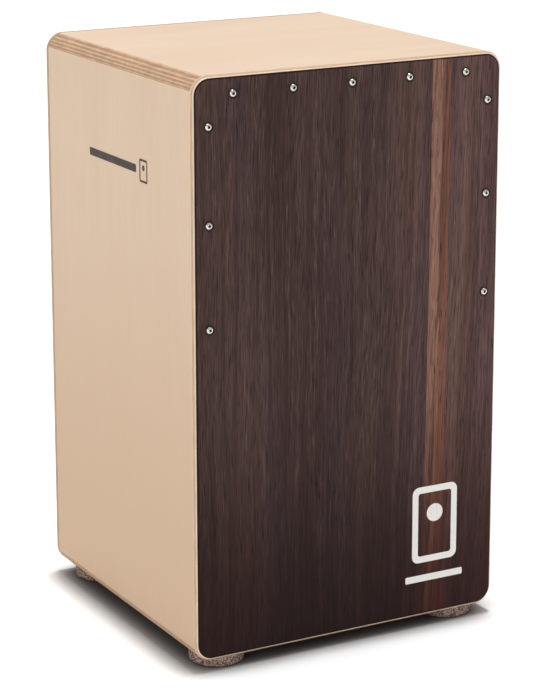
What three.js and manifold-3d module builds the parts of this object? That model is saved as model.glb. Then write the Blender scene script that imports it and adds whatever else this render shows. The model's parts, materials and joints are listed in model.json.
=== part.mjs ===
// A cajon: a plywood box drum that the player sits on. Four birch panels form a ring with rounded
// corners, a thin plate closes the back around a round sound hole, and the playing face (the
// tapa) closes the front. A bar that lifts out of two slotted cleats carries two sets of snares.
//
// Millimetres. X runs across the width, Y from the playing face (-Y) to the back (+Y), Z is up.
// The origin is on the floor, under the middle of the object.

import * as THREE from "three";
import { mergeVertices } from "three/addons/utils/BufferGeometryUtils.js";
import Module from "manifold-3d";

// ---------------------------------------------------------------- driving dimensions

const BODY_WIDTH = 298;
const BODY_HEIGHT = 500;
const RING_DEPTH = 276.5; // the four panels, between the playing face and the back plate
const PANEL_THICKNESS = 12;
const CORNER_RADIUS = 16;
const TONGUE = { width: 4, height: 4 }; // on the side panels' ends, in grooves in top and bottom

const TAPA_CORE_THICKNESS = 3.4;
const VENEER_THICKNESS = 0.6;
const TAPA_CHAMFER = 2.8;

const BACK_THICKNESS = 5;
const BACK_CHAMFER = 1;
const SOUND_HOLE = { radius: 55, aboveBase: 310, segments: 48 };

const FOOT = { radius: 24, height: 10, edgeRound: 2.5, fromSide: 33, fromFace: 27, segments: 28 };

const BATTEN = { width: 15, depth: 20 };

const GAP = 0.3; // left between a fixed piece and the hole or groove it sits in
const SEAT_GAP = 0.05; // left under a piece that is pressed flat on a leaning face
const RUNNING_CLEARANCE = 0.08; // radial, where the bar turns on its pins

const TAPA_SCREW = {
  headRadius: 4.5,
  headHeight: 2.5,
  rimHeight: 0.4,
  shankRadius: 1.75,
  tipLength: 4,
  length: 20,
  recess: { span: 4.6, width: 1, depth: 1.4 },
};
const TOP_SCREWS = { belowTop: 15.8, pitch: 56, count: 5 };
const SIDE_SCREWS = { fromSide: 14.5, belowTop: [41.5, 123, 210.5] };

const BAR = { depth: 22, height: 18, edgeRound: 3, endGap: 3 };
const PIVOT = { aboveBase: 318, behindTapa: 43 };
const PIN = { radius: 4, inBar: 14, wallGap: 1, segments: 24 };
const CLEAT = { thickness: 12, reach: 22, below: 18, above: 20, cornerRound: 4 };
const CLEAT_SCREW = {
  headRadius: 3,
  headHeight: 1.6,
  rimHeight: 0.3,
  shankRadius: 1.5,
  tipLength: 3,
  length: 20,
  recess: { span: 3.2, width: 0.8, depth: 0.9 },
  besidePivot: 13.5,
  belowPivot: 4,
};

const SNARE = {
  strands: 20,
  pitch: 2.6,
  wireRadius: 0.9,
  wireSegments: 6,
  wireLength: 122,
  wireLap: 7, // the length of each strand that is soldered to its strip
  tapaGap: 0.35, // from the strands' ends to the inside of the playing face
  strip: { height: 15, thickness: 1.25, margin: 3 },
  centreX: 62,
};
const SNARE_SCREW = {
  headRadius: 2.5,
  headHeight: 1.4,
  rimHeight: 0.3,
  shankRadius: 1.2,
  tipLength: 2.5,
  length: 12,
  recess: { span: 2.6, width: 0.7, depth: 0.8 },
  besideCentre: 18,
  belowPivot: 3.6,
};

// ---------------------------------------------------------------- derived levels

const HALF_WIDTH = BODY_WIDTH / 2;
const INNER_X = HALF_WIDTH - PANEL_THICKNESS;
const TAPA_THICKNESS = TAPA_CORE_THICKNESS + VENEER_THICKNESS;
const TOTAL_DEPTH = TAPA_SCREW.headHeight + TAPA_THICKNESS + RING_DEPTH + BACK_THICKNESS;

const Y_FACE = TAPA_SCREW.headHeight - TOTAL_DEPTH / 2; // outer surface of the playing face
const Y_RING = Y_FACE + TAPA_THICKNESS; // front edges of the four panels
const Y_RING_BACK = Y_RING + RING_DEPTH; // their back edges
const Y_REAR = Y_RING_BACK + BACK_THICKNESS; // outer surface of the back plate
const Z_BASE = FOOT.height; // underside of the body
const Z_TOP = Z_BASE + BODY_HEIGHT;
const Z_MIDDLE = Z_BASE + BODY_HEIGHT / 2;

const PIVOT_Y = Y_RING + PIVOT.behindTapa;
const PIVOT_Z = Z_BASE + PIVOT.aboveBase;
const CLEAT_FACE_X = INNER_X - CLEAT.thickness;
const BAR_END_X = CLEAT_FACE_X - BAR.endGap;

// The bar leans forward about its pins until the strands' ends all but touch the playing face.
const STRIP_FRONT_Y = -BAR.depth / 2 - SEAT_GAP - SNARE.strip.thickness;
const WIRE_FRONT_Y = STRIP_FRONT_Y - SNARE.wireRadius;
const WIRE_BOTTOM_Z = SNARE.strip.height / 2 - SNARE.wireLap;
const WIRE_TOP_Z = WIRE_BOTTOM_Z + SNARE.wireLength;
const LEAN =
  Math.asin((PIVOT.behindTapa - SNARE.tapaGap) / Math.hypot(WIRE_FRONT_Y, WIRE_TOP_Z)) -
  Math.atan2(-WIRE_FRONT_Y, WIRE_TOP_Z);

// ---------------------------------------------------------------- materials

function finish(color, roughness, metalness = 0) {
  return new THREE.MeshStandardMaterial({ color, roughness, metalness });
}

const BIRCH = finish(0xdfc4a6, 0.55);
const BACK_PLY = finish(0xd8bb9a, 0.6);
const TAPA_PLY = finish(0xcfae8a, 0.6);
const DARK_OAK = finish(0x45332f, 0.5);
const SPRUCE = finish(0xd9bb8c, 0.7);
const BEECH = finish(0xcf9f72, 0.6);
const CORK_RUBBER = finish(0x8d7469, 0.9);
const NICKEL = finish(0xd8d6d2, 0.25, 1);
const STEEL = finish(0xb9bbbd, 0.35, 1);

// ---------------------------------------------------------------- solids and meshes

const QUARTER = Math.PI / 2;
const WELD_DISTANCE = 1e-4;
const OVERRUN = 1; // how far a cutter runs past the surface it opens
const DRILL_SEGMENTS = 12;
const ARC_SEGMENTS = 7;

const wasm = await Module();
wasm.setup();

/** A closed geometry as a solid that can be joined, cut and split. */
function solidFrom(geometry) {
  const bare = geometry.clone();
  bare.deleteAttribute("normal");
  bare.deleteAttribute("uv");
  const merged = mergeVertices(bare, WELD_DISTANCE);
  const mesh = new wasm.Mesh({
    numProp: 3,
    vertProperties: new Float32Array(merged.attributes.position.array),
    triVerts: new Uint32Array(merged.index.array),
  });
  return new wasm.Manifold(mesh);
}

/** A solid's surface as a geometry with flat faces. */
function geometryFrom(solid) {
  const { vertProperties, triVerts } = solid.getMesh();
  const indexed = new THREE.BufferGeometry();
  indexed.setAttribute("position", new THREE.BufferAttribute(vertProperties, 3));
  indexed.setIndex(new THREE.BufferAttribute(triVerts, 1));
  const geometry = indexed.toNonIndexed();
  geometry.computeVertexNormals();
  return geometry;
}

/** The geometry less each of the cutters. */
function cut(geometry, cutters) {
  const whole = solidFrom(geometry);
  return geometryFrom(cutters.reduce((left, cutter) => left.subtract(solidFrom(cutter)), whole));
}

/** The geometry and all the additions as one solid. */
function join(geometry, additions) {
  const first = solidFrom(geometry);
  return geometryFrom(additions.reduce((sum, addition) => sum.add(solidFrom(addition)), first));
}

/** The two parts of the geometry in front of and behind the plane at this y. */
function splitAtY(geometry, y) {
  const [behind, front] = solidFrom(geometry).splitByPlane([0, 1, 0], y);
  return { front: geometryFrom(front), behind: geometryFrom(behind) };
}

function piece(name, geometry, material) {
  const mesh = new THREE.Mesh(geometry, material);
  mesh.name = name;
  return mesh;
}

/** A profile drawn in X and Z, made into a prism that runs back from y = 0. */
function prismAlongY(shape, depth, curveSegments = ARC_SEGMENTS) {
  const prism = new THREE.ExtrudeGeometry(shape, { depth, bevelEnabled: false, curveSegments });
  return prism.rotateX(QUARTER).translate(0, depth, 0);
}

/** A profile drawn in Y and Z, made into a prism centred on x = 0. */
function prismAlongX(shape, length, curveSegments = ARC_SEGMENTS) {
  const options = { depth: length, bevelEnabled: false, curveSegments };
  const prism = new THREE.ExtrudeGeometry(shape, options).translate(0, 0, -length / 2);
  return prism.rotateZ(QUARTER).rotateY(QUARTER);
}

/** A box given by its lowest and highest corners. */
function boxBetween(low, high) {
  const size = high.map((value, axis) => value - low[axis]);
  const middle = high.map((value, axis) => (value + low[axis]) / 2);
  return new THREE.BoxGeometry(...size).translate(...middle);
}

/** A round cutter or rod along Y, between two values of y. */
function rodAlongY(x, z, radius, from, to, segments = DRILL_SEGMENTS) {
  const rod = new THREE.CylinderGeometry(radius, radius, to - from, segments);
  return rod.translate(x, (from + to) / 2, z);
}

/** A round cutter or rod along X, between two values of x. */
function rodAlongX(y, z, radius, from, to, segments = DRILL_SEGMENTS) {
  const rod = new THREE.CylinderGeometry(radius, radius, Math.abs(to - from), segments);
  return rod.rotateZ(QUARTER).translate((from + to) / 2, y, z);
}

/** A rectangle with round corners, centred on the origin. */
function roundedRectangle(width, height, radius) {
  const x = width / 2;
  const y = height / 2;
  const shape = new THREE.Shape();
  shape.moveTo(-x + radius, -y);
  shape.lineTo(x - radius, -y);
  shape.absarc(x - radius, -y + radius, radius, -QUARTER, 0, false);
  shape.lineTo(x, y - radius);
  shape.absarc(x - radius, y - radius, radius, 0, QUARTER, false);
  shape.lineTo(-x + radius, y);
  shape.absarc(-x + radius, y - radius, radius, QUARTER, 2 * QUARTER, false);
  shape.lineTo(-x, -y + radius);
  shape.absarc(-x + radius, -y + radius, radius, 2 * QUARTER, 3 * QUARTER, false);
  return shape;
}

/** A plate with the body's outline: chamfered face at y = 0, the other face at y = thickness. */
function bodyPlate(thickness, chamfer) {
  const outline = roundedRectangle(BODY_WIDTH, BODY_HEIGHT, CORNER_RADIUS);
  const bevelled = new THREE.ExtrudeGeometry(outline, {
    depth: thickness,
    bevelThickness: chamfer,
    bevelSize: chamfer,
    bevelOffset: -chamfer,
    bevelSegments: 1,
    curveSegments: ARC_SEGMENTS,
  });
  const upright = bevelled.rotateX(QUARTER).translate(0, thickness + chamfer, 0);
  return splitAtY(upright, thickness).front;
}

/** A domed wood screw with a cross recess. Its head seats on y = 0 and its shank runs to +Y. */
function screw(size) {
  const domeSteps = 3;
  const domeHeight = size.headHeight - size.rimHeight;
  const profile = [];
  for (let step = 0; step <= domeSteps; step += 1) {
    const turn = (QUARTER * step) / domeSteps;
    const y = -size.rimHeight - domeHeight * Math.cos(turn);
    profile.push(new THREE.Vector2(size.headRadius * Math.sin(turn), y));
  }
  profile.push(new THREE.Vector2(size.headRadius, 0));
  profile.push(new THREE.Vector2(size.shankRadius, 0));
  profile.push(new THREE.Vector2(size.shankRadius, size.length - size.tipLength));
  profile.push(new THREE.Vector2(0, size.length));
  const { span, width, depth } = size.recess;
  const slot = new THREE.BoxGeometry(span, 2 * depth, width).translate(0, -size.headHeight, 0);
  const cross = [slot, slot.clone().rotateY(QUARTER)];
  return cut(new THREE.LatheGeometry(profile, DRILL_SEGMENTS), cross);
}

const LEFT_AND_RIGHT = [
  { label: "left", side: -1 },
  { label: "right", side: 1 },
];

// ---------------------------------------------------------------- the ring of four panels

// The corner's radius is a little more than a panel's thickness, so the round-over starts on the
// top or bottom panel and runs out on the side panel, this angle short of the vertical face.
const RUN_OUT = Math.asin((CORNER_RADIUS - PANEL_THICKNESS) / CORNER_RADIUS);
const RUN_OUT_INSET = CORNER_RADIUS * (1 - Math.cos(RUN_OUT));
const TONGUE_X = HALF_WIDTH - PANEL_THICKNESS / 2;

/** The top panel's section: rounded outer edges, and a groove for each side panel's tongue. */
function topPanelSection() {
  const arcX = HALF_WIDTH - CORNER_RADIUS;
  const arcZ = PANEL_THICKNESS - CORNER_RADIUS;
  const grooveHalf = TONGUE.width / 2 + GAP;
  const grooveDepth = TONGUE.height + GAP;
  const shape = new THREE.Shape();
  shape.moveTo(-HALF_WIDTH + RUN_OUT_INSET, 0);
  for (const centre of [-TONGUE_X, TONGUE_X]) {
    shape.lineTo(centre - grooveHalf, 0);
    shape.lineTo(centre - grooveHalf, grooveDepth);
    shape.lineTo(centre + grooveHalf, grooveDepth);
    shape.lineTo(centre + grooveHalf, 0);
  }
  shape.lineTo(HALF_WIDTH - RUN_OUT_INSET, 0);
  shape.absarc(arcX, arcZ, CORNER_RADIUS, RUN_OUT, QUARTER, false);
  shape.lineTo(-arcX, PANEL_THICKNESS);
  shape.absarc(-arcX, arcZ, CORNER_RADIUS, QUARTER, Math.PI - RUN_OUT, false);
  return shape;
}

/** The right panel's section: a tongue at each end, and the last of the round-overs outside. */
function rightPanelSection() {
  const arcX = HALF_WIDTH - CORNER_RADIUS;
  const low = PANEL_THICKNESS;
  const high = BODY_HEIGHT - PANEL_THICKNESS;
  const tongueInner = TONGUE_X - TONGUE.width / 2;
  const tongueOuter = TONGUE_X + TONGUE.width / 2;
  const shape = new THREE.Shape();
  shape.moveTo(INNER_X, low);
  shape.lineTo(tongueInner, low);
  shape.lineTo(tongueInner, low - TONGUE.height);
  shape.lineTo(tongueOuter, low - TONGUE.height);
  shape.lineTo(tongueOuter, low);
  shape.lineTo(HALF_WIDTH - RUN_OUT_INSET, low);
  shape.absarc(arcX, CORNER_RADIUS, CORNER_RADIUS, -RUN_OUT, 0, false);
  shape.lineTo(HALF_WIDTH, BODY_HEIGHT - CORNER_RADIUS);
  shape.absarc(arcX, BODY_HEIGHT - CORNER_RADIUS, CORNER_RADIUS, 0, RUN_OUT, false);
  shape.lineTo(tongueOuter, high);
  shape.lineTo(tongueOuter, high + TONGUE.height);
  shape.lineTo(tongueInner, high + TONGUE.height);
  shape.lineTo(tongueInner, high);
  shape.lineTo(INNER_X, high);
  return shape;
}

/** Where the screws of one cleat go in, front one first. */
const CLEAT_SCREW_PLACES = [
  { label: "front", y: PIVOT_Y - CLEAT_SCREW.besidePivot, z: PIVOT_Z - CLEAT_SCREW.belowPivot },
  { label: "back", y: PIVOT_Y + CLEAT_SCREW.besidePivot, z: PIVOT_Z - CLEAT_SCREW.belowPivot },
];

function panelRing() {
  const ring = new THREE.Group();
  const cap = prismAlongY(topPanelSection(), RING_DEPTH);
  const base = cap.clone().rotateY(Math.PI);
  ring.add(piece("top_panel", cap.translate(0, Y_RING, Z_TOP - PANEL_THICKNESS), BIRCH));
  ring.add(piece("bottom_panel", base.translate(0, Y_RING, Z_BASE + PANEL_THICKNESS), BIRCH));
  for (const { label, side } of LEFT_AND_RIGHT) {
    const wall = prismAlongY(rightPanelSection(), RING_DEPTH, 2);
    if (side < 0) {
      wall.rotateY(Math.PI).translate(0, 0, BODY_HEIGHT);
    }
    wall.translate(0, Y_RING, Z_BASE);
    const from = side * (INNER_X - OVERRUN);
    const to = side * (CLEAT_FACE_X + CLEAT_SCREW.length + GAP);
    const radius = CLEAT_SCREW.shankRadius + GAP;
    const pilots = CLEAT_SCREW_PLACES.map(({ y, z }) => rodAlongX(y, z, radius, from, to));
    ring.add(piece(`${label}_panel`, cut(wall, pilots), BIRCH));
  }
  return ring;
}

// ---------------------------------------------------------------- playing face and back plate

/** Where the playing face's screws go in: along the top, then down the left and right sides. */
function tapaScrewPlaces() {
  const places = [];
  for (let i = 0; i < TOP_SCREWS.count; i += 1) {
    const x = (i - (TOP_SCREWS.count - 1) / 2) * TOP_SCREWS.pitch;
    places.push({ x, z: Z_TOP - TOP_SCREWS.belowTop });
  }
  for (const { side } of LEFT_AND_RIGHT) {
    for (const depth of SIDE_SCREWS.belowTop) {
      places.push({ x: side * (HALF_WIDTH - SIDE_SCREWS.fromSide), z: Z_TOP - depth });
    }
  }
  return places;
}

const TAPA_SCREW_PLACES = tapaScrewPlaces();

/** The holes that the playing face's screws pass down, through all that is in their way. */
function tapaScrewHoles() {
  const radius = TAPA_SCREW.shankRadius + GAP;
  const from = Y_FACE - OVERRUN;
  const to = Y_FACE + TAPA_SCREW.length + GAP;
  return TAPA_SCREW_PLACES.map(({ x, z }) => rodAlongY(x, z, radius, from, to));
}

function playingFace() {
  const plate = bodyPlate(TAPA_THICKNESS, TAPA_CHAMFER);
  const { front, behind } = splitAtY(plate, VENEER_THICKNESS);
  const holes = tapaScrewHoles();
  const veneer = cut(front.translate(0, Y_FACE, Z_MIDDLE), holes);
  const core = cut(behind.translate(0, Y_FACE, Z_MIDDLE), holes);
  const face = new THREE.Group();
  face.add(piece("tapa_veneer", veneer, DARK_OAK), piece("tapa_core", core, TAPA_PLY));
  TAPA_SCREW_PLACES.forEach(({ x, z }, index) => {
    const number = String(index + 1).padStart(2, "0");
    face.add(piece(`tapa_screw_${number}`, screw(TAPA_SCREW).translate(x, Y_FACE, z), NICKEL));
  });
  return face;
}

function backPlate() {
  const plate = bodyPlate(BACK_THICKNESS, BACK_CHAMFER).rotateZ(Math.PI);
  plate.translate(0, Y_REAR, Z_MIDDLE);
  const { radius, aboveBase, segments } = SOUND_HOLE;
  const from = Y_RING_BACK - OVERRUN;
  const hole = rodAlongY(0, Z_BASE + aboveBase, radius, from, Y_REAR + OVERRUN, segments);
  return piece("back_panel", cut(plate, [hole]), BACK_PLY);
}

/** Battens glued inside the ring's front edge. The face is glued and screwed to them. */
function battens() {
  const back = Y_RING + BATTEN.depth;
  const ceiling = Z_TOP - PANEL_THICKNESS;
  const floor = Z_BASE + PANEL_THICKNESS;
  const upper = ceiling - BATTEN.width;
  const lower = floor + BATTEN.width;
  const inner = INNER_X - BATTEN.width;
  const strips = {
    batten_top: boxBetween([-INNER_X, Y_RING, upper], [INNER_X, back, ceiling]),
    batten_left: boxBetween([-INNER_X, Y_RING, lower], [-inner, back, upper]),
    batten_right: boxBetween([inner, Y_RING, lower], [INNER_X, back, upper]),
    batten_bottom: boxBetween([-INNER_X, Y_RING, floor], [INNER_X, back, lower]),
  };
  const holes = tapaScrewHoles();
  const frame = new THREE.Group();
  for (const [name, strip] of Object.entries(strips)) {
    frame.add(piece(name, cut(strip, holes), SPRUCE));
  }
  return frame;
}

// ---------------------------------------------------------------- feet

function feet() {
  const { radius, height, edgeRound, fromSide, fromFace, segments } = FOOT;
  const profile = [new THREE.Vector2(0, 0)];
  const edgeSteps = 3;
  for (let step = 0; step <= edgeSteps; step += 1) {
    const turn = (QUARTER * step) / edgeSteps;
    const r = radius - edgeRound + edgeRound * Math.sin(turn);
    profile.push(new THREE.Vector2(r, edgeRound * (1 - Math.cos(turn))));
  }
  profile.push(new THREE.Vector2(radius, height), new THREE.Vector2(0, height));
  const disc = new THREE.LatheGeometry(profile, segments).rotateX(QUARTER);
  const rows = { front: Y_FACE + fromFace, back: Y_REAR - fromFace };
  const all = new THREE.Group();
  for (const [row, y] of Object.entries(rows)) {
    for (const { label, side } of LEFT_AND_RIGHT) {
      const foot = disc.clone().translate(side * (HALF_WIDTH - fromSide), y, 0);
      all.add(piece(`foot_${row}_${label}`, foot, CORK_RUBBER));
    }
  }
  return all;
}

// ---------------------------------------------------------------- cleats that hold the bar's pins

/** A cleat's outline about the pivot: a block with a slot, open at the top, for the pin. */
function cleatOutline() {
  const { reach, below, above, cornerRound: r } = CLEAT;
  const slot = PIN.radius + GAP;
  const shape = new THREE.Shape();
  shape.moveTo(-reach + r, -below);
  shape.lineTo(reach - r, -below);
  shape.absarc(reach - r, -below + r, r, -QUARTER, 0, false);
  shape.lineTo(reach, above - r);
  shape.absarc(reach - r, above - r, r, 0, QUARTER, false);
  shape.lineTo(slot, above);
  shape.lineTo(slot, 0);
  shape.absarc(0, 0, slot, 0, -2 * QUARTER, true);
  shape.lineTo(-slot, above);
  shape.lineTo(-reach + r, above);
  shape.absarc(-reach + r, above - r, r, QUARTER, 2 * QUARTER, false);
  shape.lineTo(-reach, -below + r);
  shape.absarc(-reach + r, -below + r, r, 2 * QUARTER, 3 * QUARTER, false);
  return shape;
}

function cleats() {
  const all = new THREE.Group();
  for (const { label, side } of LEFT_AND_RIGHT) {
    const block = prismAlongX(cleatOutline(), CLEAT.thickness, 6);
    block.translate(side * (CLEAT_FACE_X + CLEAT.thickness / 2), PIVOT_Y, PIVOT_Z);
    const from = side * (CLEAT_FACE_X - OVERRUN);
    const to = side * (INNER_X + OVERRUN);
    const radius = CLEAT_SCREW.shankRadius + GAP;
    const holes = CLEAT_SCREW_PLACES.map(({ y, z }) => rodAlongX(y, z, radius, from, to));
    all.add(piece(`cleat_${label}`, cut(block, holes), BEECH));
    for (const place of CLEAT_SCREW_PLACES) {
      const fastener = screw(CLEAT_SCREW).rotateZ(-side * QUARTER);
      fastener.translate(side * CLEAT_FACE_X, place.y, place.z);
      all.add(piece(`cleat_screw_${label}_${place.label}`, fastener, STEEL));
    }
  }
  return all;
}

// ---------------------------------------------------------------- snare bar, drawn about its pins

/** Leans a piece that was drawn upright about the pins, and puts it in its place in the box. */
function leaned(geometry) {
  return geometry.rotateX(LEAN).translate(0, PIVOT_Y, PIVOT_Z);
}

/** Where the snare sets' screws go in, inner one of each pair first. */
function snareScrewPlaces() {
  const places = [];
  for (const { label, side } of LEFT_AND_RIGHT) {
    for (const [end, offset] of [["inner", -1], ["outer", 1]]) {
      const x = side * (SNARE.centreX + offset * SNARE_SCREW.besideCentre);
      places.push({ label: `${label}_${end}`, x, z: -SNARE_SCREW.belowPivot });
    }
  }
  return places;
}

const SNARE_SCREW_PLACES = snareScrewPlaces();

/** The holes that the snare sets' screws pass down, through the strips and into the bar. */
function snareScrewHoles() {
  const radius = SNARE_SCREW.shankRadius + GAP;
  const from = STRIP_FRONT_Y - OVERRUN;
  const to = STRIP_FRONT_Y + SNARE_SCREW.length + GAP;
  return SNARE_SCREW_PLACES.map(({ x, z }) => rodAlongY(x, z, radius, from, to));
}

/** A snare set about x = 0: an end strip, with its strands soldered on and pointing up. */
function snareSet() {
  const { strands, pitch, wireRadius, wireSegments, wireLength, strip } = SNARE;
  const halfWidth = ((strands - 1) * pitch) / 2 + strip.margin;
  const low = [-halfWidth, STRIP_FRONT_Y, -strip.height / 2];
  const high = [halfWidth, STRIP_FRONT_Y + strip.thickness, strip.height / 2];
  const wires = [];
  for (let i = 0; i < strands; i += 1) {
    const x = (i - (strands - 1) / 2) * pitch;
    const wire = new THREE.CylinderGeometry(wireRadius, wireRadius, wireLength, wireSegments);
    wires.push(wire.rotateX(QUARTER).translate(x, STRIP_FRONT_Y, WIRE_BOTTOM_Z + wireLength / 2));
  }
  return join(boxBetween(low, high), wires);
}

function snareBar() {
  const section = roundedRectangle(BAR.depth, BAR.height, BAR.edgeRound);
  const blank = prismAlongX(section, 2 * BAR_END_X, 3);
  const holes = snareScrewHoles();
  const boreRadius = PIN.radius + RUNNING_CLEARANCE;
  const bores = LEFT_AND_RIGHT.map(({ side }) => {
    const from = side * (BAR_END_X - PIN.inBar - GAP);
    return rodAlongX(0, 0, boreRadius, from, side * (BAR_END_X + OVERRUN), PIN.segments);
  });
  const bar = new THREE.Group();
  bar.add(piece("snare_bar", leaned(cut(blank, [...holes, ...bores])), BEECH));
  for (const { label, side } of LEFT_AND_RIGHT) {
    const inner = side * (BAR_END_X - PIN.inBar);
    const outer = side * (INNER_X - PIN.wallGap);
    const pin = rodAlongX(0, 0, PIN.radius, inner, outer, PIN.segments);
    bar.add(piece(`bar_pin_${label}`, leaned(pin), STEEL));
    const set = snareSet().translate(side * SNARE.centreX, 0, 0);
    bar.add(piece(`snare_${label}`, leaned(cut(set, holes)), STEEL));
  }
  for (const { label, x, z } of SNARE_SCREW_PLACES) {
    const fastener = screw(SNARE_SCREW).translate(x, STRIP_FRONT_Y - SEAT_GAP, z);
    bar.add(piece(`snare_screw_${label}`, leaned(fastener), STEEL));
  }
  return bar;
}

// ---------------------------------------------------------------- the whole instrument

const cajon = new THREE.Group();
cajon.add(panelRing(), playingFace(), backPlate(), battens(), feet(), cleats(), snareBar());

export default cajon;
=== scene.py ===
"""Looks for a snare cajon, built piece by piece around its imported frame.

Metres. X runs across the width, Y from the playing face (-Y) to the back (+Y), Z is up. Each
sub-assembly of the instrument is a class that holds its sizes, builds its meshes and dresses
them. Each finish is a frozen dataclass that makes one material.
"""

import json
import logging
import math
from dataclasses import dataclass
from enum import Enum
from typing import Iterable, Optional, Sequence

import bmesh
import bpy
from mathutils import Matrix, Vector


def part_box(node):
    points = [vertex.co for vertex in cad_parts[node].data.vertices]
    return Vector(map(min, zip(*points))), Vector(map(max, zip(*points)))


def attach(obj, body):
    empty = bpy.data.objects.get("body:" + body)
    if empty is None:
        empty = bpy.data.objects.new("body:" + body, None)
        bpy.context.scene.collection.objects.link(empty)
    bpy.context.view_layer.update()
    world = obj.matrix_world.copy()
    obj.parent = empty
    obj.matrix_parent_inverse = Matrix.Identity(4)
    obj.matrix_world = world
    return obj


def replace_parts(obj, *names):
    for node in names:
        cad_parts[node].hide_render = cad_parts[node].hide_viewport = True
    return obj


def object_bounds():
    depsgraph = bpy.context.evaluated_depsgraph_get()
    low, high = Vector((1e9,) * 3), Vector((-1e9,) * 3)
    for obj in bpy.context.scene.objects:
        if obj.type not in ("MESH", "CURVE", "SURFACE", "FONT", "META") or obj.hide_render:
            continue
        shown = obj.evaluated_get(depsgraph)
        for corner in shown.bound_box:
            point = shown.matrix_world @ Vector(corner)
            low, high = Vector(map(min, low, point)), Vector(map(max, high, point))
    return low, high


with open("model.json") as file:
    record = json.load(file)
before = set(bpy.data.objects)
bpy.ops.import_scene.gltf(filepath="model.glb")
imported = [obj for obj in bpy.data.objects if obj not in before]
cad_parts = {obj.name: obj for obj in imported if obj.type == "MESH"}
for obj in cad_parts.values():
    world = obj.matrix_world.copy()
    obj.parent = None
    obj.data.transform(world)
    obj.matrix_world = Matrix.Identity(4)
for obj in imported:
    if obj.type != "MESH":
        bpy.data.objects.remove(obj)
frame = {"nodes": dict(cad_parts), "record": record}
CAD_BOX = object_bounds()

log = logging.getLogger("cajon")

MM = 0.001
QUARTER = math.pi / 2
SHARP_ANGLE = math.radians(32)
FLAT_ANGLE = math.radians(1)
WELD = 0.002 * MM
SIDES = {"left": -1, "right": 1}
X, Y, Z = 0, 1, 2

Point2 = tuple[float, float]
Loop = list[Vector]
Socket = bpy.types.NodeSocket


# ------------------------------------------------------------------ colours


class Tone(Enum):
    """The colours of the instrument's materials, as display values from 0 to 255."""

    BIRCH_FACE = (231, 205, 180)
    BIRCH_FACE_WARM = (226, 198, 171)
    BIRCH_HONEY_AND_SHADE = (206, 174, 141)
    BIRCH_PORE = (212, 180, 150)
    PLY_LONG_GRAIN = (206, 172, 140)
    PLY_END_GRAIN = (176, 139, 108)
    PLY_GLUE = (146, 108, 80)
    SEAM = (92, 62, 44)
    OAK_DARK = (50, 31, 30)
    OAK_WARM = (78, 57, 50)
    OAK_LIGHT = (85, 65, 62)
    OAK_COOL = (72, 54, 54)
    OAK_PORE = (26, 14, 13)
    OAK_GLINT = (118, 96, 88)
    OAK_EDGE = (16, 7, 6)
    OAK_RUST = (98, 60, 46)
    # A painted shade, multiplied into the oak leaf towards the floor.
    OAK_PAINTED_SHADE = (146, 106, 100)
    SAPWOOD = (142, 104, 86)
    SAPWOOD_RED = (124, 80, 64)
    SAPWOOD_DARK = (84, 57, 47)
    SPRUCE_EARLY = (226, 198, 152)
    SPRUCE_LATE = (188, 146, 98)
    BEECH_PALE = (208, 164, 122)
    BEECH_FLECK = (160, 112, 76)
    CORK_PALE = (204, 184, 170)
    CORK_MID = (160, 130, 112)
    RUBBER_GREY = (122, 104, 98)
    RUBBER_DARK = (74, 56, 52)
    NICKEL = (226, 222, 214)
    NICKEL_DULL = (176, 168, 158)
    # Painted shade and dark reflection for screw heads and their recesses.
    NICKEL_PAINTED_SHADE = (34, 24, 22)
    STEEL = (196, 197, 198)
    SOLDER = (170, 170, 166)
    WHITE_INK = (243, 240, 234)
    DARK_INK = (44, 30, 27)
    FLOOR = (253, 253, 253)

    @property
    def linear(self) -> tuple[float, float, float, float]:
        """The colour as scene-linear red, green, blue and alpha."""
        return (*(((c / 255 + 0.055) / 1.055) ** 2.4 for c in self.value), 1.0)


# ------------------------------------------------------------------ material recipes


def drawn_out(axis: Optional[int], along: float, across: float) -> list[float]:
    """Cycles per metre on X, Y and Z, for a pattern that is drawn out along one axis."""
    return [along if at == axis else across for at in (X, Y, Z)]


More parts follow.
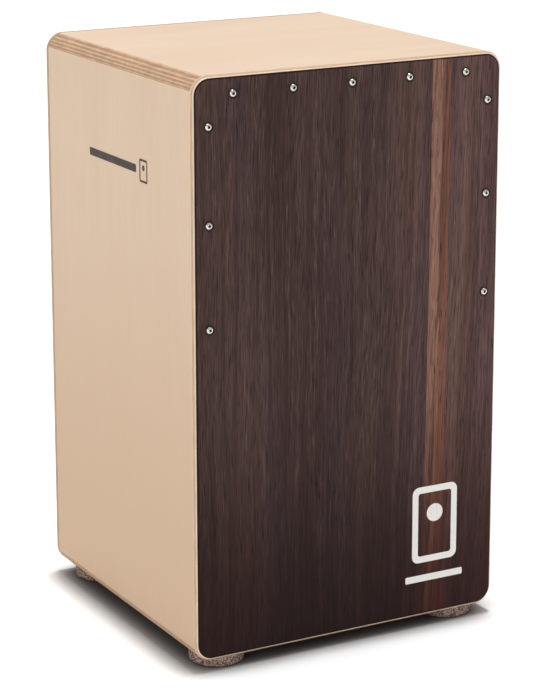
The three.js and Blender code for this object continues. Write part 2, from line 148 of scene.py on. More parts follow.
class Recipe:
    """One material's node tree, built a value at a time."""

    def __init__(self, name: str) -> None:
        """Starts a material with one shader and the place of the shaded point.

        Args:
            name: the material's name.
        """
        self.material = bpy.data.materials.new(name)
        self.material.use_nodes = True
        self.tree = self.material.node_tree
        self.tree.nodes.clear()
        output = self.tree.nodes.new("ShaderNodeOutputMaterial")
        self.shader = self.tree.nodes.new("ShaderNodeBsdfPrincipled")
        self.tree.links.new(self.shader.outputs["BSDF"], output.inputs["Surface"])
        self.place = self.tree.nodes.new("ShaderNodeTexCoord").outputs["Object"]
        split = self.tree.nodes.new("ShaderNodeSeparateXYZ")
        self.tree.links.new(self.place, split.inputs[0])
        self.axes = list(split.outputs)

    def feed(self, socket: Socket, value: object) -> None:
        """Links a socket to another's value, or sets it to a plain one.

        Args:
            socket: the input to fill.
            value: an output socket, a number, a colour or a vector.
        """
        if isinstance(value, Tone):
            value = value.linear
        if isinstance(value, bpy.types.NodeSocket):
            self.tree.links.new(value, socket)
        else:
            socket.default_value = value

    def math(self, operation: str, *values: object, clamp: bool = False) -> Socket:
        """A sum of one to three values.

        Args:
            operation: the name of the math node's operation.
            values: numbers or sockets.
            clamp: whether the answer is kept from 0 to 1.

        Returns:
            The answer.
        """
        node = self.tree.nodes.new("ShaderNodeMath")
        node.operation = operation
        node.use_clamp = clamp
        for socket, value in zip(node.inputs, values):
            self.feed(socket, value)
        return node.outputs[0]

    def join(self, x: object, y: object, z: object) -> Socket:
        """A vector from three values.

        Args:
            x: its first part.
            y: its second part.
            z: its third part.

        Returns:
            The vector.
        """
        node = self.tree.nodes.new("ShaderNodeCombineXYZ")
        for socket, value in zip(node.inputs, (x, y, z)):
            self.feed(socket, value)
        return node.outputs[0]

    def scaled(self, scales: Sequence[float], offset: Sequence[float] = (0, 0, 0)) -> Socket:
        """The place of the shaded point, stretched along each axis and then moved.

        Args:
            scales: cycles per metre along X, Y and Z.
            offset: what is added after that.

        Returns:
            The stretched place.
        """
        node = self.tree.nodes.new("ShaderNodeMapping")
        self.feed(node.inputs["Vector"], self.place)
        node.inputs["Scale"].default_value = scales
        node.inputs["Location"].default_value = offset
        return node.outputs[0]

    def noise(
        self, where: Socket, detail: float = 2, rough: float = 0.5, warp: float = 0
    ) -> Socket:
        """Soft noise of one cycle per unit, from about 0.2 to 0.8.

        Args:
            where: the place to read it at.
            detail: how many finer layers are added.
            rough: how strong each finer layer is.
            warp: how far it is twisted by itself.

        Returns:
            The noise.
        """
        node = self.tree.nodes.new("ShaderNodeTexNoise")
        self.feed(node.inputs["Vector"], where)
        node.inputs["Scale"].default_value = 1
        node.inputs["Detail"].default_value = detail
        node.inputs["Roughness"].default_value = rough
        node.inputs["Distortion"].default_value = warp
        return node.outputs["Fac"]

    def grain(
        self,
        axis: Optional[int],
        along: float,
        across: float,
        move: Sequence[float] = (0, 0, 0),
        detail: float = 2,
        rough: float = 0.5,
        warp: float = 0,
    ) -> Socket:
        """Noise with one rate along an axis and one across it, in cycles per metre."""
        return self.noise(self.scaled(drawn_out(axis, along, across), move), detail, rough, warp)

    def even(self, rate: float, detail: float = 2, rough: float = 0.5) -> Socket:
        """Noise with one rate, in cycles per metre, on all three axes."""
        return self.grain(None, rate, rate, detail=detail, rough=rough)

    def grains(self, where: Socket, feature: str = "F1") -> tuple[Socket, Socket]:
        """Cells of about one unit.

        Args:
            where: the place to read them at.
            feature: which distance is measured.

        Returns:
            The distance, and a random colour for each cell.
        """
        node = self.tree.nodes.new("ShaderNodeTexVoronoi")
        node.feature = feature
        self.feed(node.inputs["Vector"], where)
        node.inputs["Scale"].default_value = 1
        return node.outputs["Distance"], node.outputs["Color"]

    def span(
        self, value: object, low: float, high: float, to_low: float = 0, to_high: float = 1
    ) -> Socket:
        """A value carried from one span to another and held at its ends.

        Args:
            value: the value to carry.
            low: where the first span starts.
            high: where it ends.
            to_low: what low becomes.
            to_high: what high becomes.

        Returns:
            The carried value.
        """
        node = self.tree.nodes.new("ShaderNodeMapRange")
        node.interpolation_type = "SMOOTHSTEP"
        for socket, number in zip(node.inputs[:5], (value, low, high, to_low, to_high)):
            self.feed(socket, number)
        return node.outputs[0]

    def mix(self, amount: object, first: object, second: object, way: str = "MIX") -> Socket:
        """Two colours mixed.

        Args:
            amount: how much of the second one is used, from 0 to 1.
            first: the colour underneath.
            second: the colour on top.
            way: the blend mode.

        Returns:
            The mixed colour.
        """
        node = self.tree.nodes.new("ShaderNodeMix")
        node.data_type = "RGBA"
        node.blend_type = way
        self.feed(node.inputs[0], amount)
        self.feed(node.inputs[6], first)
        self.feed(node.inputs[7], second)
        return node.outputs[2]

    def lit(self, colour: Socket, factor: object) -> Socket:
        """A colour whose three parts are multiplied by a factor."""
        return self.mix(1.0, colour, self.join(factor, factor, factor), "MULTIPLY")

    def bump(self, height: Socket, depth: float, under: Optional[Socket] = None) -> Socket:
        """A surface made uneven.

        Args:
            height: how high it stands, from 0 to 1.
            depth: how far 1 stands proud, in metres.
            under: the normal it is laid on, if it isn't the mesh's own.

        Returns:
            The new normal.
        """
        node = self.tree.nodes.new("ShaderNodeBump")
        node.inputs["Distance"].default_value = depth
        self.feed(node.inputs["Height"], height)
        if under is not None:
            self.feed(node.inputs["Normal"], under)
        return node.outputs[0]

    def inset(self, middle: Point2, half: Point2, corner: float) -> Socket:
        """How far the shaded point lies inside a rounded rectangle that stands across Y.

        Args:
            middle: the rectangle's middle, in X and Z.
            half: half its width and half its height.
            corner: its corners' radius.

        Returns:
            The distance to its outline.
        """
        reach = []
        for axis, centre, size in zip((X, Z), middle, half):
            from_centre = self.math("ABSOLUTE", self.math("SUBTRACT", self.axes[axis], centre))
            reach.append(self.math("SUBTRACT", from_centre, size - corner))
        squares = [self.math("POWER", self.math("MAXIMUM", value, 0.0), 2.0) for value in reach]
        outside = self.math("SQRT", self.math("ADD", *squares))
        inside = self.math("MINIMUM", self.math("MAXIMUM", *reach), 0.0)
        return self.math("SUBTRACT", corner, self.math("ADD", outside, inside))

    def surface(self, **values: object) -> bpy.types.Material:
        """Fills the shader's sockets.

        Args:
            values: the sockets' names, with _ for each space, and their values.

        Returns:
            The finished material.
        """
        for name, value in values.items():
            self.feed(self.shader.inputs[name.replace("_", " ")], value)
        return self.material


@dataclass(frozen=True)
class PlyStack:
    """How a panel is built up from plies: which way, from where, and of how many."""

    axis: int
    outer: float
    inward: int
    thickness: float
    count: int

    @property
    def pitch(self) -> float:
        """One ply's thickness."""
        return self.thickness / self.count

    def plies(self, recipe: Recipe) -> tuple[Socket, Socket, Socket]:
        """Where the shaded point lies in the stack.

        Args:
            recipe: the material being made.

        Returns:
            Its depth below the outer face, whether its ply is an odd one, and how far it lies from
            the middle of its ply, up to 0.5 at a glue line.
        """
        reach = recipe.math("SUBTRACT", self.outer, recipe.axes[self.axis])
        depth = recipe.math("MULTIPLY", reach, self.inward)
        layer = recipe.math("DIVIDE", depth, self.pitch)
        pair = recipe.math("FRACT", recipe.math("DIVIDE", layer, 2))
        odd = recipe.math("GREATER_THAN", pair, 0.5)
        part = recipe.math("FRACT", layer)
        return depth, odd, recipe.math("ABSOLUTE", recipe.math("SUBTRACT", part, 0.5))


@dataclass(frozen=True)
class BirchPly:
    """Lacquered birch plywood: quiet face veneers, and browner plies at the edges."""

    name: str
    stack: PlyStack
    grain: int
    seed: float = 0
    honey_and_shade: Point2 = (0, 0)
    seam: Point2 = (0.5 * MM, 0.2 * MM)

    def make(self) -> bpy.types.Material:
        """Makes the material.

        Returns:
            The material.
        """
        r = Recipe(self.name)
        stack = self.stack
        move = (self.seed, self.seed * 1.7, self.seed * 0.6)
        flame = r.grain(self.grain, 2.2, 13, move, detail=3, warp=0.8)
        streak = r.grain(self.grain, 7, 260, move, detail=3, rough=0.6)
        fibre = r.grain(self.grain, 40, 1500, move, rough=0.6)
        pore = r.span(r.grain(self.grain, 90, 1900, move, detail=1), 0.66, 0.74)
        face = r.mix(r.span(flame, 0.3, 0.72), Tone.BIRCH_FACE, Tone.BIRCH_FACE_WARM)
        # The face turns honey-brown, more so towards the floor, where the extra brown is painted
        # shade.
        face = r.mix(r.span(r.axes[Z], 0.08, 0.46, *self.honey_and_shade), face, Tone.BIRCH_HONEY_AND_SHADE)
        face = r.lit(face, r.span(streak, 0.25, 0.75, 0.98, 1.015))
        face = r.lit(face, r.span(fibre, 0.3, 0.7, 0.985, 1.01))
        face = r.mix(r.math("MULTIPLY", pore, 0.35), face, Tone.BIRCH_PORE)

        depth, odd, side = stack.plies(r)
        mottle = r.grain(None, 45, 45, move, detail=3, rough=0.6)
        dash = r.grain(stack.axis, 700, 90, move, rough=0.7)
        edge = r.mix(odd, Tone.PLY_LONG_GRAIN, Tone.PLY_END_GRAIN)
        edge = r.lit(edge, r.span(mottle, 0.3, 0.7, 0.9, 1.08))
        edge = r.lit(edge, r.span(dash, 0.3, 0.7, 0.86, 1.1))
        edge = r.mix(r.span(side, 0.4, 0.49, 0, 0.6), edge, Tone.PLY_GLUE)
        near_seam, at_seam = (stack.thickness - short for short in self.seam)
        edge = r.mix(r.span(depth, near_seam, at_seam, 0, 0.9), edge, Tone.SEAM)

        start = stack.pitch * 0.3
        cover = r.span(depth, start, start * 1.6)
        back = r.span(r.math("SUBTRACT", stack.thickness, depth), start * 0.1, start * 0.3)
        cut = r.math("MULTIPLY", cover, back)
        height = r.math("SUBTRACT", fibre, r.math("MULTIPLY", pore, 0.6))
        sheen = r.span(streak, 0.3, 0.7, 0.4, 0.5)
        return r.surface(
            Base_Color=r.mix(cut, face, edge),
            Roughness=r.math("ADD", sheen, r.math("MULTIPLY", cut, 0.14)),
            Normal=r.bump(r.mix(cut, height, dash), 0.04 * MM),
            Specular_IOR_Level=0.4,
        )


@dataclass(frozen=True)
class SmokedOak:
    """A dark smoked oak veneer with a paler band of sapwood, under a satin lacquer."""

    name: str
    middle: Point2
    half: Point2
    corner: float
    band_left: Point2 = (0.0755, 0.0797)
    band_right: Point2 = (0.0970, 0.0978)
    edge: float = 0.9 * MM
    seats: tuple[Point2, ...] = ()
    shadow_drift: Point2 = (0.7 * MM, -0.45 * MM)
    shadow_ring: Point2 = (3.7 * MM, 4.9 * MM)
    streak_at: float = -111.5 * MM
    shaded: Point2 = (0.0, 0.5)

    def make(self) -> bpy.types.Material:
        """Makes the material.

        Returns:
            The material.
        """
        r = Recipe(self.name)
        x, _, z = r.axes
        foot = self.middle[1] - self.half[1]
        up = r.math("DIVIDE", r.math("SUBTRACT", z, foot), 2 * self.half[1])

        # The grain wanders a little, and leans to the right of the middle.
        sway = r.math("SUBTRACT", r.noise(r.scaled((9, 0, 5)), detail=2), 0.5)
        drift = r.math("MULTIPLY", sway, 0.013)
        lean = r.math("MULTIPLY", r.span(x, -0.03, 0.06), r.math("MULTIPLY", up, 0.02))
        line = r.math("SUBTRACT", r.math("ADD", x, drift), lean)

        def along_grain(
            across: float, along: float, detail: float, rough: float, layer: float
        ) -> Socket:
            """Noise drawn out along the grain.

            Args:
                across: cycles per metre across it.
                along: cycles per metre along it.
                detail: how many finer layers are added.
                rough: how strong each finer layer is.
                layer: a number that sets it apart from other such noise.

            Returns:
                The noise.
            """
            place = r.join(r.math("MULTIPLY", line, across), layer, r.math("MULTIPLY", z, along))
            return r.noise(place, detail, rough)

        zone = along_grain(24, 1.2, 2, 0.5, 1.7)
        tint = along_grain(32, 1.7, 2, 0.5, 8.2)
        streak = along_grain(150, 3.2, 3, 0.6, 3.1)
        fibre = along_grain(560, 7, 3, 0.72, 5.9)
        hair = along_grain(1300, 46, 1, 0.5, 7.3)
        dash = along_grain(1700, 70, 0, 0.5, 2.4)

        wood = r.mix(r.span(tint, 0.36, 0.62), Tone.OAK_COOL, Tone.OAK_WARM)
        wood = r.mix(r.span(zone, 0.34, 0.66, 0.62, 0.0), wood, Tone.OAK_DARK)
        wood = r.mix(r.span(streak, 0.48, 0.72, 0, 0.5), wood, Tone.OAK_LIGHT)
        wood = r.mix(r.span(streak, 0.3, 0.47, 0.5, 0), wood, Tone.OAK_DARK)

        # A reddish streak runs down the upper left.
        off = r.math("ABSOLUTE", r.math("SUBTRACT", r.math("ADD", x, drift), self.streak_at))
        rust = r.math("MULTIPLY", r.span(off, 0.0004, 0.0019, 0.8, 0), r.span(up, 0.55, 0.8))
        wood = r.mix(r.math("MULTIPLY", rust, r.span(fibre, 0.4, 0.6)), wood, Tone.OAK_RUST)

        # The leaf is painted paler towards the right and past the sapwood, a painted sheen.
        wood = r.lit(wood, r.span(x, 0.015, 0.08, 1.0, 1.5))
        edges = []
        for low, high in (self.band_left, self.band_right):
            edges.append(r.math("ADD", r.math("MULTIPLY", up, high - low), low))
        wobble = r.math("MULTIPLY", r.math("SUBTRACT", streak, 0.5), 0.009)
        past_left = r.math("SUBTRACT", r.math("ADD", x, r.math("MULTIPLY", wobble, 0.25)), edges[0])
        past_right = r.math("SUBTRACT", r.math("ADD", x, wobble), edges[1])
        painted_sheen = r.span(past_right, -0.002, 0.002, 1.0, 1.3)
        wood = r.lit(wood, painted_sheen)
        core = r.mix(r.span(tint, 0.4, 0.6), Tone.SAPWOOD, Tone.SAPWOOD_RED)
        sap = r.mix(r.span(past_left, 0.009, 0.0135), core, Tone.SAPWOOD_RED)
        sap = r.mix(r.span(streak, 0.36, 0.52, 0.75, 0), sap, Tone.SAPWOOD_DARK)
        not_past = r.span(past_right, -0.0012, 0.0012, 1, 0)
        inside = r.math("MULTIPLY", r.span(past_left, -0.0005, 0.0006), not_past)
        wood = r.mix(r.math("MULTIPLY", inside, 0.92), wood, sap)

        wood = r.lit(wood, r.span(fibre, 0.28, 0.72, 0.8, 1.22))
        wood = r.lit(wood, r.span(hair, 0.3, 0.7, 0.8, 1.2))
        glint = r.math("MULTIPLY", r.span(dash, 0.64, 0.74), r.span(streak, 0.42, 0.6))
        wood = r.mix(r.math("MULTIPLY", glint, 0.4), wood, Tone.OAK_GLINT)
        pore = r.span(dash, 0.36, 0.27)
        wood = r.mix(r.math("MULTIPLY", pore, 0.6), wood, Tone.OAK_PORE)

        # A dark ring is painted round each screw, set off down and to the right, as the head's
        # painted shadow.
        nearest: object = 1.0
        for seat_x, seat_z in self.seats:
            node = r.tree.nodes.new("ShaderNodeVectorMath")
            node.operation = "DISTANCE"
            r.feed(node.inputs[0], r.join(x, 0.0, z))
            drift_x, drift_z = self.shadow_drift
            node.inputs[1].default_value = (seat_x + drift_x, 0, seat_z + drift_z)
            nearest = r.math("MINIMUM", nearest, node.outputs["Value"])
        wood = r.mix(r.span(nearest, *self.shadow_ring, 0.9, 0), wood, Tone.OAK_EDGE)

        # The leaf is painted darker towards the floor as shade, and its cut edge is nearly black.
        wood = r.mix(r.span(up, *self.shaded, 1, 0), wood, Tone.OAK_PAINTED_SHADE, "MULTIPLY")
        depth = r.inset(self.middle, self.half, self.corner)
        wood = r.mix(r.span(depth, self.edge * 0.6, self.edge, 0.85, 0), wood, Tone.OAK_EDGE)
        height = r.math("SUBTRACT", fibre, r.math("MULTIPLY", pore, 0.8))
        return r.surface(
            Base_Color=wood,
            Roughness=r.span(fibre, 0.3, 0.7, 0.4, 0.5),
            Normal=r.bump(height, 0.06 * MM),
            Specular_IOR_Level=0.12,
        )


@dataclass(frozen=True)
class PlanedTimber:
    """Bare planed wood with straight grain, for the pieces inside."""

    name: str
    early: Tone
    late: Tone
    length: int
    ring: float = 320
    fleck: float = 0.0

    def make(self) -> bpy.types.Material:
        """Makes the material.

        Returns:
            The material.
        """
        r = Recipe(self.name)
        rings = r.grain(self.length, 3, self.ring, detail=1, warp=0.3)
        fibre = r.grain(self.length, 22, 1600, detail=3, rough=0.65)
        stain = r.grain(self.length, 9, 30)
        ray = r.span(r.grain(self.length, 300, 900, detail=0), 0.64, 0.7)
        wood = r.mix(r.span(rings, 0.4, 0.62), self.early, self.late)
        wood = r.lit(wood, r.span(fibre, 0.3, 0.7, 0.9, 1.06))
        wood = r.lit(wood, r.span(stain, 0.3, 0.7, 0.93, 1.04))
        wood = r.mix(r.math("MULTIPLY", ray, self.fleck), wood, Tone.BEECH_FLECK)
        return r.surface(
            Base_Color=wood,
            Roughness=r.span(fibre, 0.3, 0.7, 0.6, 0.74),
            Normal=r.bump(fibre, 0.08 * MM),
            Specular_IOR_Level=0.35,
        )


@dataclass(frozen=True)
class BondedGranulate:
    """Cork and rubber crumbs pressed together, matt and mottled."""

    name: str
    crumb: float = 950

    def make(self) -> bpy.types.Material:
        """Makes the material.

        Returns:
            The material.
        """
        r = Recipe(self.name)
        shove = r.even(700)
        node = r.tree.nodes.new("ShaderNodeVectorMath")
        r.feed(node.inputs[0], r.scaled([self.crumb] * 3))
        r.feed(node.inputs[1], r.join(shove, shove, shove))
        edge, colour = r.grains(node.outputs[0])
        pick = r.tree.nodes.new("ShaderNodeSeparateColor")
        r.feed(pick.inputs[0], colour)
        kind, shade = pick.outputs[0], pick.outputs[1]
        cork = r.mix(r.span(shade, 0.1, 0.9), Tone.CORK_MID, Tone.CORK_PALE)
        rubber = r.mix(shade, Tone.RUBBER_DARK, Tone.RUBBER_GREY)
        pad = r.mix(r.math("GREATER_THAN", kind, 0.62), cork, rubber)
        speck = r.even(2600)
        pad = r.lit(pad, r.span(speck, 0.3, 0.7, 0.8, 1.12))
        pad = r.lit(pad, r.span(edge, 0.3, 0.75, 1.04, 0.8))
        height = r.math("SUBTRACT", 1.0, edge)
        return r.surface(
            Base_Color=pad,
            Roughness=r.span(speck, 0.3, 0.7, 0.78, 0.95),
            Normal=r.bump(r.math("ADD", height, r.math("MULTIPLY", speck, 0.4)), 0.35 * MM),
            Specular_IOR_Level=0.3,
        )


@dataclass(frozen=True)
class WorkedMetal:
    """Bare or plated metal with fine marks from its making, and a duller film in places."""

    name: str
    bright: Tone
    dull: Tone
    rough: float = 0.24
    drawn: Optional[int] = None
    crown: Optional[float] = None
    painted_flank: Point2 = (1.3 * MM, 1.7 * MM)

    def make(self) -> bpy.types.Material:
        """Makes the material. Below a stated crown, looking out along -Y, its flank is painted
        dark, a painted shade and dark reflection.

        Returns:
            The material.
        """
        r = Recipe(self.name)
        marks = r.grain(self.drawn, 180, 5200, rough=0.6)
        film = r.even(420, detail=3, rough=0.6)
        metal = r.mix(r.span(film, 0.42, 0.72, 0, 0.5), self.bright, self.dull)
        rough = r.span(marks, 0.3, 0.7, self.rough * 0.8, self.rough * 1.3)
        if self.crown is not None:
            # Painted shade and dark reflection on the head's flank, below the crown.
            below = r.math("SUBTRACT", r.axes[Y], self.crown)
            flank_shade = r.span(below, *self.painted_flank, 0, 0.96)
            metal = r.mix(flank_shade, metal, Tone.NICKEL_PAINTED_SHADE)
            rough = r.math("ADD", rough, r.math("MULTIPLY", flank_shade, 0.2))
        return r.surface(
            Base_Color=metal,
            Metallic=1.0,
            Roughness=r.math("ADD", rough, r.span(film, 0.4, 0.7, 0, 0.1)),
            Normal=r.bump(marks, 0.012 * MM),
        )


def recess_painted_shade() -> bpy.types.Material:
    """The dark colour painted into a screw's recess as shade, made once."""
    made = bpy.data.materials.get("recess_painted_shade")
    return made or WorkedMetal("recess_painted_shade", Tone.NICKEL_PAINTED_SHADE, Tone.OAK_EDGE, 0.5).make()


@dataclass(frozen=True)
class PrintedInk:
    """Screen-printed ink that follows the grain below it, a little thin in places."""

    name: str
    ink: Tone
    under: Tone
    grain: int = Z

    def make(self) -> bpy.types.Material:
        """Makes the material.

        Returns:
            The material.
        """
        r = Recipe(self.name)
        fibre = r.grain(self.grain, 40, 1600, detail=3, rough=0.65)
        thin = r.even(220, detail=4, rough=0.7)
        worn = r.math("MULTIPLY", r.span(fibre, 0.52, 0.72), r.span(thin, 0.45, 0.7, 0, 0.28))
        return r.surface(
            Base_Color=r.mix(worn, self.ink, self.under),
            Roughness=r.span(fibre, 0.3, 0.7, 0.42, 0.56),
            Normal=r.bump(fibre, 0.03 * MM),
            Specular_IOR_Level=0.35,
        )


@dataclass(frozen=True)
class PaleFloor:
    """The studio's plain floor, with shade painted into narrow gaps from an ambient-occlusion node.
    """

    name: str = "pale_floor"
    reach: float = 0.045
    shade: float = 0.12

    def make(self) -> bpy.types.Material:
        """Makes the material.

        Returns:
            The material.
        """
        r = Recipe(self.name)
        dust = r.even(3)
        # Painted shade: the floor's colour darkens where the box hides it from the sky.
        nook = r.tree.nodes.new("ShaderNodeAmbientOcclusion")
        nook.inputs["Distance"].default_value = self.reach
        openness = r.span(nook.outputs["AO"], 0.15, 0.95, self.shade, 1.0)
        pale = r.lit(r.mix(0.0, Tone.FLOOR, Tone.FLOOR), r.span(dust, 0.3, 0.7, 0.99, 1.0))
        return r.surface(
            Base_Color=r.lit(pale, openness),
            Roughness=0.9,
            Specular_IOR_Level=0.1,
        )


# ------------------------------------------------------------------ outlines and meshes


def arc(centre: Point2, radius: float, start: float, end: float, steps: int) -> list[Point2]:
    """Points along part of a circle, in equal steps, its two ends included."""
    turns = [start + (end - start) * i / steps for i in range(steps + 1)]
    return [(centre[0] + radius * math.cos(t), centre[1] + radius * math.sin(t)) for t in turns]


def circle(centre: Point2, radius: float, steps: int = 24) -> list[Point2]:
    """Points round a circle."""
    return arc(centre, radius, 0, 4 * QUARTER, steps)[:-1]


def rounded(
    centre: Point2, width: float, height: float, radius: float, steps: int = 8
) -> list[Point2]:
    """Points round a rectangle with round corners.

    Args:
        centre: its middle.
        width: its size along the first axis.
        height: its size along the second.
        radius: its corners' radius.
        steps: how many straight pieces stand for each corner.

    Returns:
        The points.
    """
    reach_x, reach_y = width / 2 - radius, height / 2 - radius
    points: list[Point2] = []
    for turn, (sx, sy) in enumerate(((1, 1), (-1, 1), (-1, -1), (1, -1))):
        middle = (centre[0] + sx * reach_x, centre[1] + sy * reach_y)
        points += arc(middle, radius, turn * QUARTER, (turn + 1) * QUARTER, steps)
    return points


def stood(points: Iterable[Point2], axis: int, at: float) -> Loop:
    """A flat outline stood across an axis.

    Args:
        points: the outline, on the two other axes in X, Y, Z order.
        axis: the axis it stands across.
        at: where along that axis.

    Returns:
        The points in space.
    """
    place = {
        X: lambda a, b: Vector((at, a, b)),
        Y: lambda a, b: Vector((a, at, b)),
        Z: lambda a, b: Vector((a, b, at)),
    }[axis]
    return [place(a, b) for a, b in points]


@dataclass(frozen=True)
class Hole:
    """A round hole through a plate: its middle, and its radius at each of its levels."""

    centre: Point2
    levels: tuple[Point2, ...]
    steps: int = 20


class Shell:
    """A closed skin put together from loops of points."""

    def __init__(self) -> None:
        """Starts with nothing."""
        self.bm = bmesh.new()

    def loop(self, points: Iterable[Vector]) -> list[bmesh.types.BMVert]:
        """Adds a loop of points, or one point, and returns it."""
        return [self.bm.verts.new(p) for p in points]

    def wall(self, *loops: list[bmesh.types.BMVert]) -> None:
        """Joins each loop to the next with a band of faces.

        Args:
            loops: loops of one length. A loop of one point makes a fan.
        """
        for near, far in zip(loops, loops[1:]):
            count = max(len(near), len(far))
            for i in range(count):
                j = (i + 1) % count
                corners = ((near, i), (near, j), (far, j), (far, i))
                ring = [loop[k % len(loop)] for loop, k in corners]
                self.bm.faces.new(list(dict.fromkeys(ring)))

    def lid(self, *loops: list[bmesh.types.BMVert]) -> None:
        """Fills the flat area inside the first loop and outside all the others."""
        edges = []
        for loop in loops:
            for pair in zip(loop, loop[1:] + loop[:1]):
                edges.append(self.bm.edges.get(pair) or self.bm.edges.new(pair))
        bmesh.ops.triangle_fill(self.bm, use_beauty=True, use_dissolve=False, edges=edges)

    def tube(self, *loops: list[bmesh.types.BMVert]) -> None:
        """Joins loops into a closed tube.

        Args:
            loops: loops of one length.
        """
        self.wall(*loops)
        self.lid(loops[0])
        self.lid(loops[-1])

    def plate(
        self,
        middle: Point2,
        size: Point2,
        corner: float,
        steps: int,
        levels: Iterable[Point2],
        holes: Iterable[Hole],
    ) -> None:
        """Adds a plate with round corners across Y, and its holes.

        Args:
            middle: its middle, in X and Z.
            size: its width and height.
            corner: its corners' radius.
            steps: how many straight pieces stand for each corner.
            levels: where each of its outlines is, and how far that one is inset.
            holes: its holes.
        """
        rims = []
        for y, inset in levels:
            width, height = (full - 2 * inset for full in size)
            outline = rounded(middle, width, height, corner - inset, steps)
            rims.append(self.loop(stood(outline, Y, y)))
        bores = [rims]
        for hole in holes:
            rings = [(circle(hole.centre, r, hole.steps), y) for y, r in hole.levels]
            bores.append([self.loop(stood(ring, Y, y)) for ring, y in rings])
        for bore in bores:
            self.wall(*bore)
        for end in (0, -1):
            self.lid(*(bore[end] for bore in bores))

    def prism(self, outline: Sequence[Point2], axis: int, start: float, end: float) -> None:
        """Adds a closed prism with one section, from one place along an axis to another."""
        self.tube(*(self.loop(stood(outline, axis, at)) for at in (start, end)))

    def done(
        self, name: str, turned: Optional[Matrix] = None, sharp: float = SHARP_ANGLE
    ) -> bpy.types.Object:
        """Turns the skin into an object.

        Args:
            name: the object's name.
            turned: how the mesh is moved into its place, if it was drawn elsewhere.
            sharp: the angle above which an edge is drawn sharp.

        Returns:
            The object.
        """
        bmesh.ops.recalc_face_normals(self.bm, faces=self.bm.faces)
        mesh = bpy.data.meshes.new(name)
        self.bm.to_mesh(mesh)
        self.bm.free()
        if turned is not None:
            mesh.transform(turned)
        mesh.polygons.foreach_set("use_smooth", [True] * len(mesh.polygons))
        mesh.set_sharp_from_angle(angle=sharp)
        obj = bpy.data.objects.new(name, mesh)
        bpy.context.scene.collection.objects.link(obj)
        return obj


def dress(
    obj: bpy.types.Object, body: str, slot: str, *materials: bpy.types.Material
) -> bpy.types.Object:
    """Gives a new piece its materials and its body.

    Args:
        obj: the piece.
        body: the body it rides on.
        slot: the record's slot for its finish; not used.
        materials: its materials.

    Returns:
        The same piece.
    """
    if obj.data.materials:
        obj.data.materials.clear()
    for material in materials:
        obj.data.materials.append(material)
    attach(obj, body)
    log.info("%s rides on %s, %d faces", obj.name, body, len(obj.data.polygons))
    return obj


def refinish(node: str, material: bpy.types.Material) -> None:
    """Gives a piece of the frame a better material."""
    for place in frame["nodes"][node].material_slots:
        place.material = material
    log.info("%s keeps its mesh and takes %s", node, material.name)


# ------------------------------------------------------------------ fasteners


@dataclass(frozen=True)
class WoodScrew:
    """A domed screw with a cross recess. It is drawn with its head on -Y, seated on y = 0."""

    head_radius: float
    head_height: float
    rim: float
    shank_radius: float
    tip: float
    length: float
    recess_span: float
    recess_width: float
    recess_depth: float
    flat: float = 0.64
    crown: float = 1.0
    thread: float = 1.6 * MM
    neck: float = 1 * MM
    steps: int = 32

    def cross(self, share: float, width_share: float) -> list[Point2]:
        """The recess's outline.

        Args:
            share: how long its arms are, as a share of the whole.
            width_share: how wide they are, as a share of the whole.

        Returns:
            The outline.
        """
        reach = self.recess_span / 2 * share
        half = self.recess_width / 2 * width_share
        quarter = [(reach, -half), (reach, half), (half, half)]
        points = list(quarter)
        for _ in range(3):
            quarter = [(-b, a) for a, b in quarter]
            points += quarter
        return points

    def profile(self) -> list[Point2]:
        """The turned outline from the head's flat top to the tip, as radius and y.

        Returns:
            The points.
        """
        dome = self.crown * self.head_radius
        flat = self.flat * dome
        points = [(flat * 0.93, -self.head_height)]
        rise = self.head_height - self.rim
        for i in range(9):
            turn = QUARTER * (0.12 + 0.88 * i / 8)
            r = flat + (dome - flat) * math.sin(turn)
            points.append((r, -self.rim - rise * math.cos(turn)))
        if self.crown < 1:
            points += [(dome * 1.02, -self.rim * 0.95), (self.head_radius * 0.96, -self.rim * 0.9)]
            points.append((self.head_radius, -self.rim * 0.6))
        points += [(self.head_radius * 0.985, -self.rim * 0.2), (self.head_radius * 0.95, 0)]
        points.append((self.shank_radius * 0.8, 0))
        turns = int((self.length - self.tip - self.neck) / self.thread)
        for i in range(turns):
            y = self.neck + i * self.thread
            points += [(self.shank_radius * 0.78, y), (self.shank_radius, y + self.thread * 0.45)]
        points.append((self.shank_radius * 0.78, self.length - self.tip))
        points.append((self.shank_radius * 0.5, self.length - self.tip * 0.5))
        return points

    def build(self, name: str, place: Matrix) -> bpy.types.Object:
        """Builds the screw.

        Args:
            name: its name.
            place: where it goes.

        Returns:
            The screw.
        """
        shell = Shell()
        loops = [shell.loop(stood(circle((0, 0), r, self.steps), Y, y)) for r, y in self.profile()]
        shell.wall(*loops, shell.loop([Vector((0, self.length, 0))]))
        top = -self.head_height
        mouth = shell.loop(stood(self.cross(1, 1), Y, top))
        throat = shell.loop(stood(self.cross(0.62, 0.85), Y, top + self.recess_depth * 0.65))
        shell.lid(loops[0], mouth)
        outside = set(shell.bm.faces)
        shell.wall(mouth, throat, shell.loop([Vector((0, top + self.recess_depth, 0))]))
        # The recess faces take the second material, painted dark as shade.
        for face in shell.bm.faces:
            face.material_index = 0 if face in outside else 1
        return shell.done(name, place)


# ------------------------------------------------------------------ the box


def body_box() -> tuple[Vector, Vector]:
    """The wooden body's lowest and highest corners, without its feet and screw heads."""
    low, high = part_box("tapa_core")
    front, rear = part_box("tapa_veneer")[0].y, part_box("back_panel")[1].y
    return Vector((low.x, front, low.z)), Vector((high.x, rear, high.z))


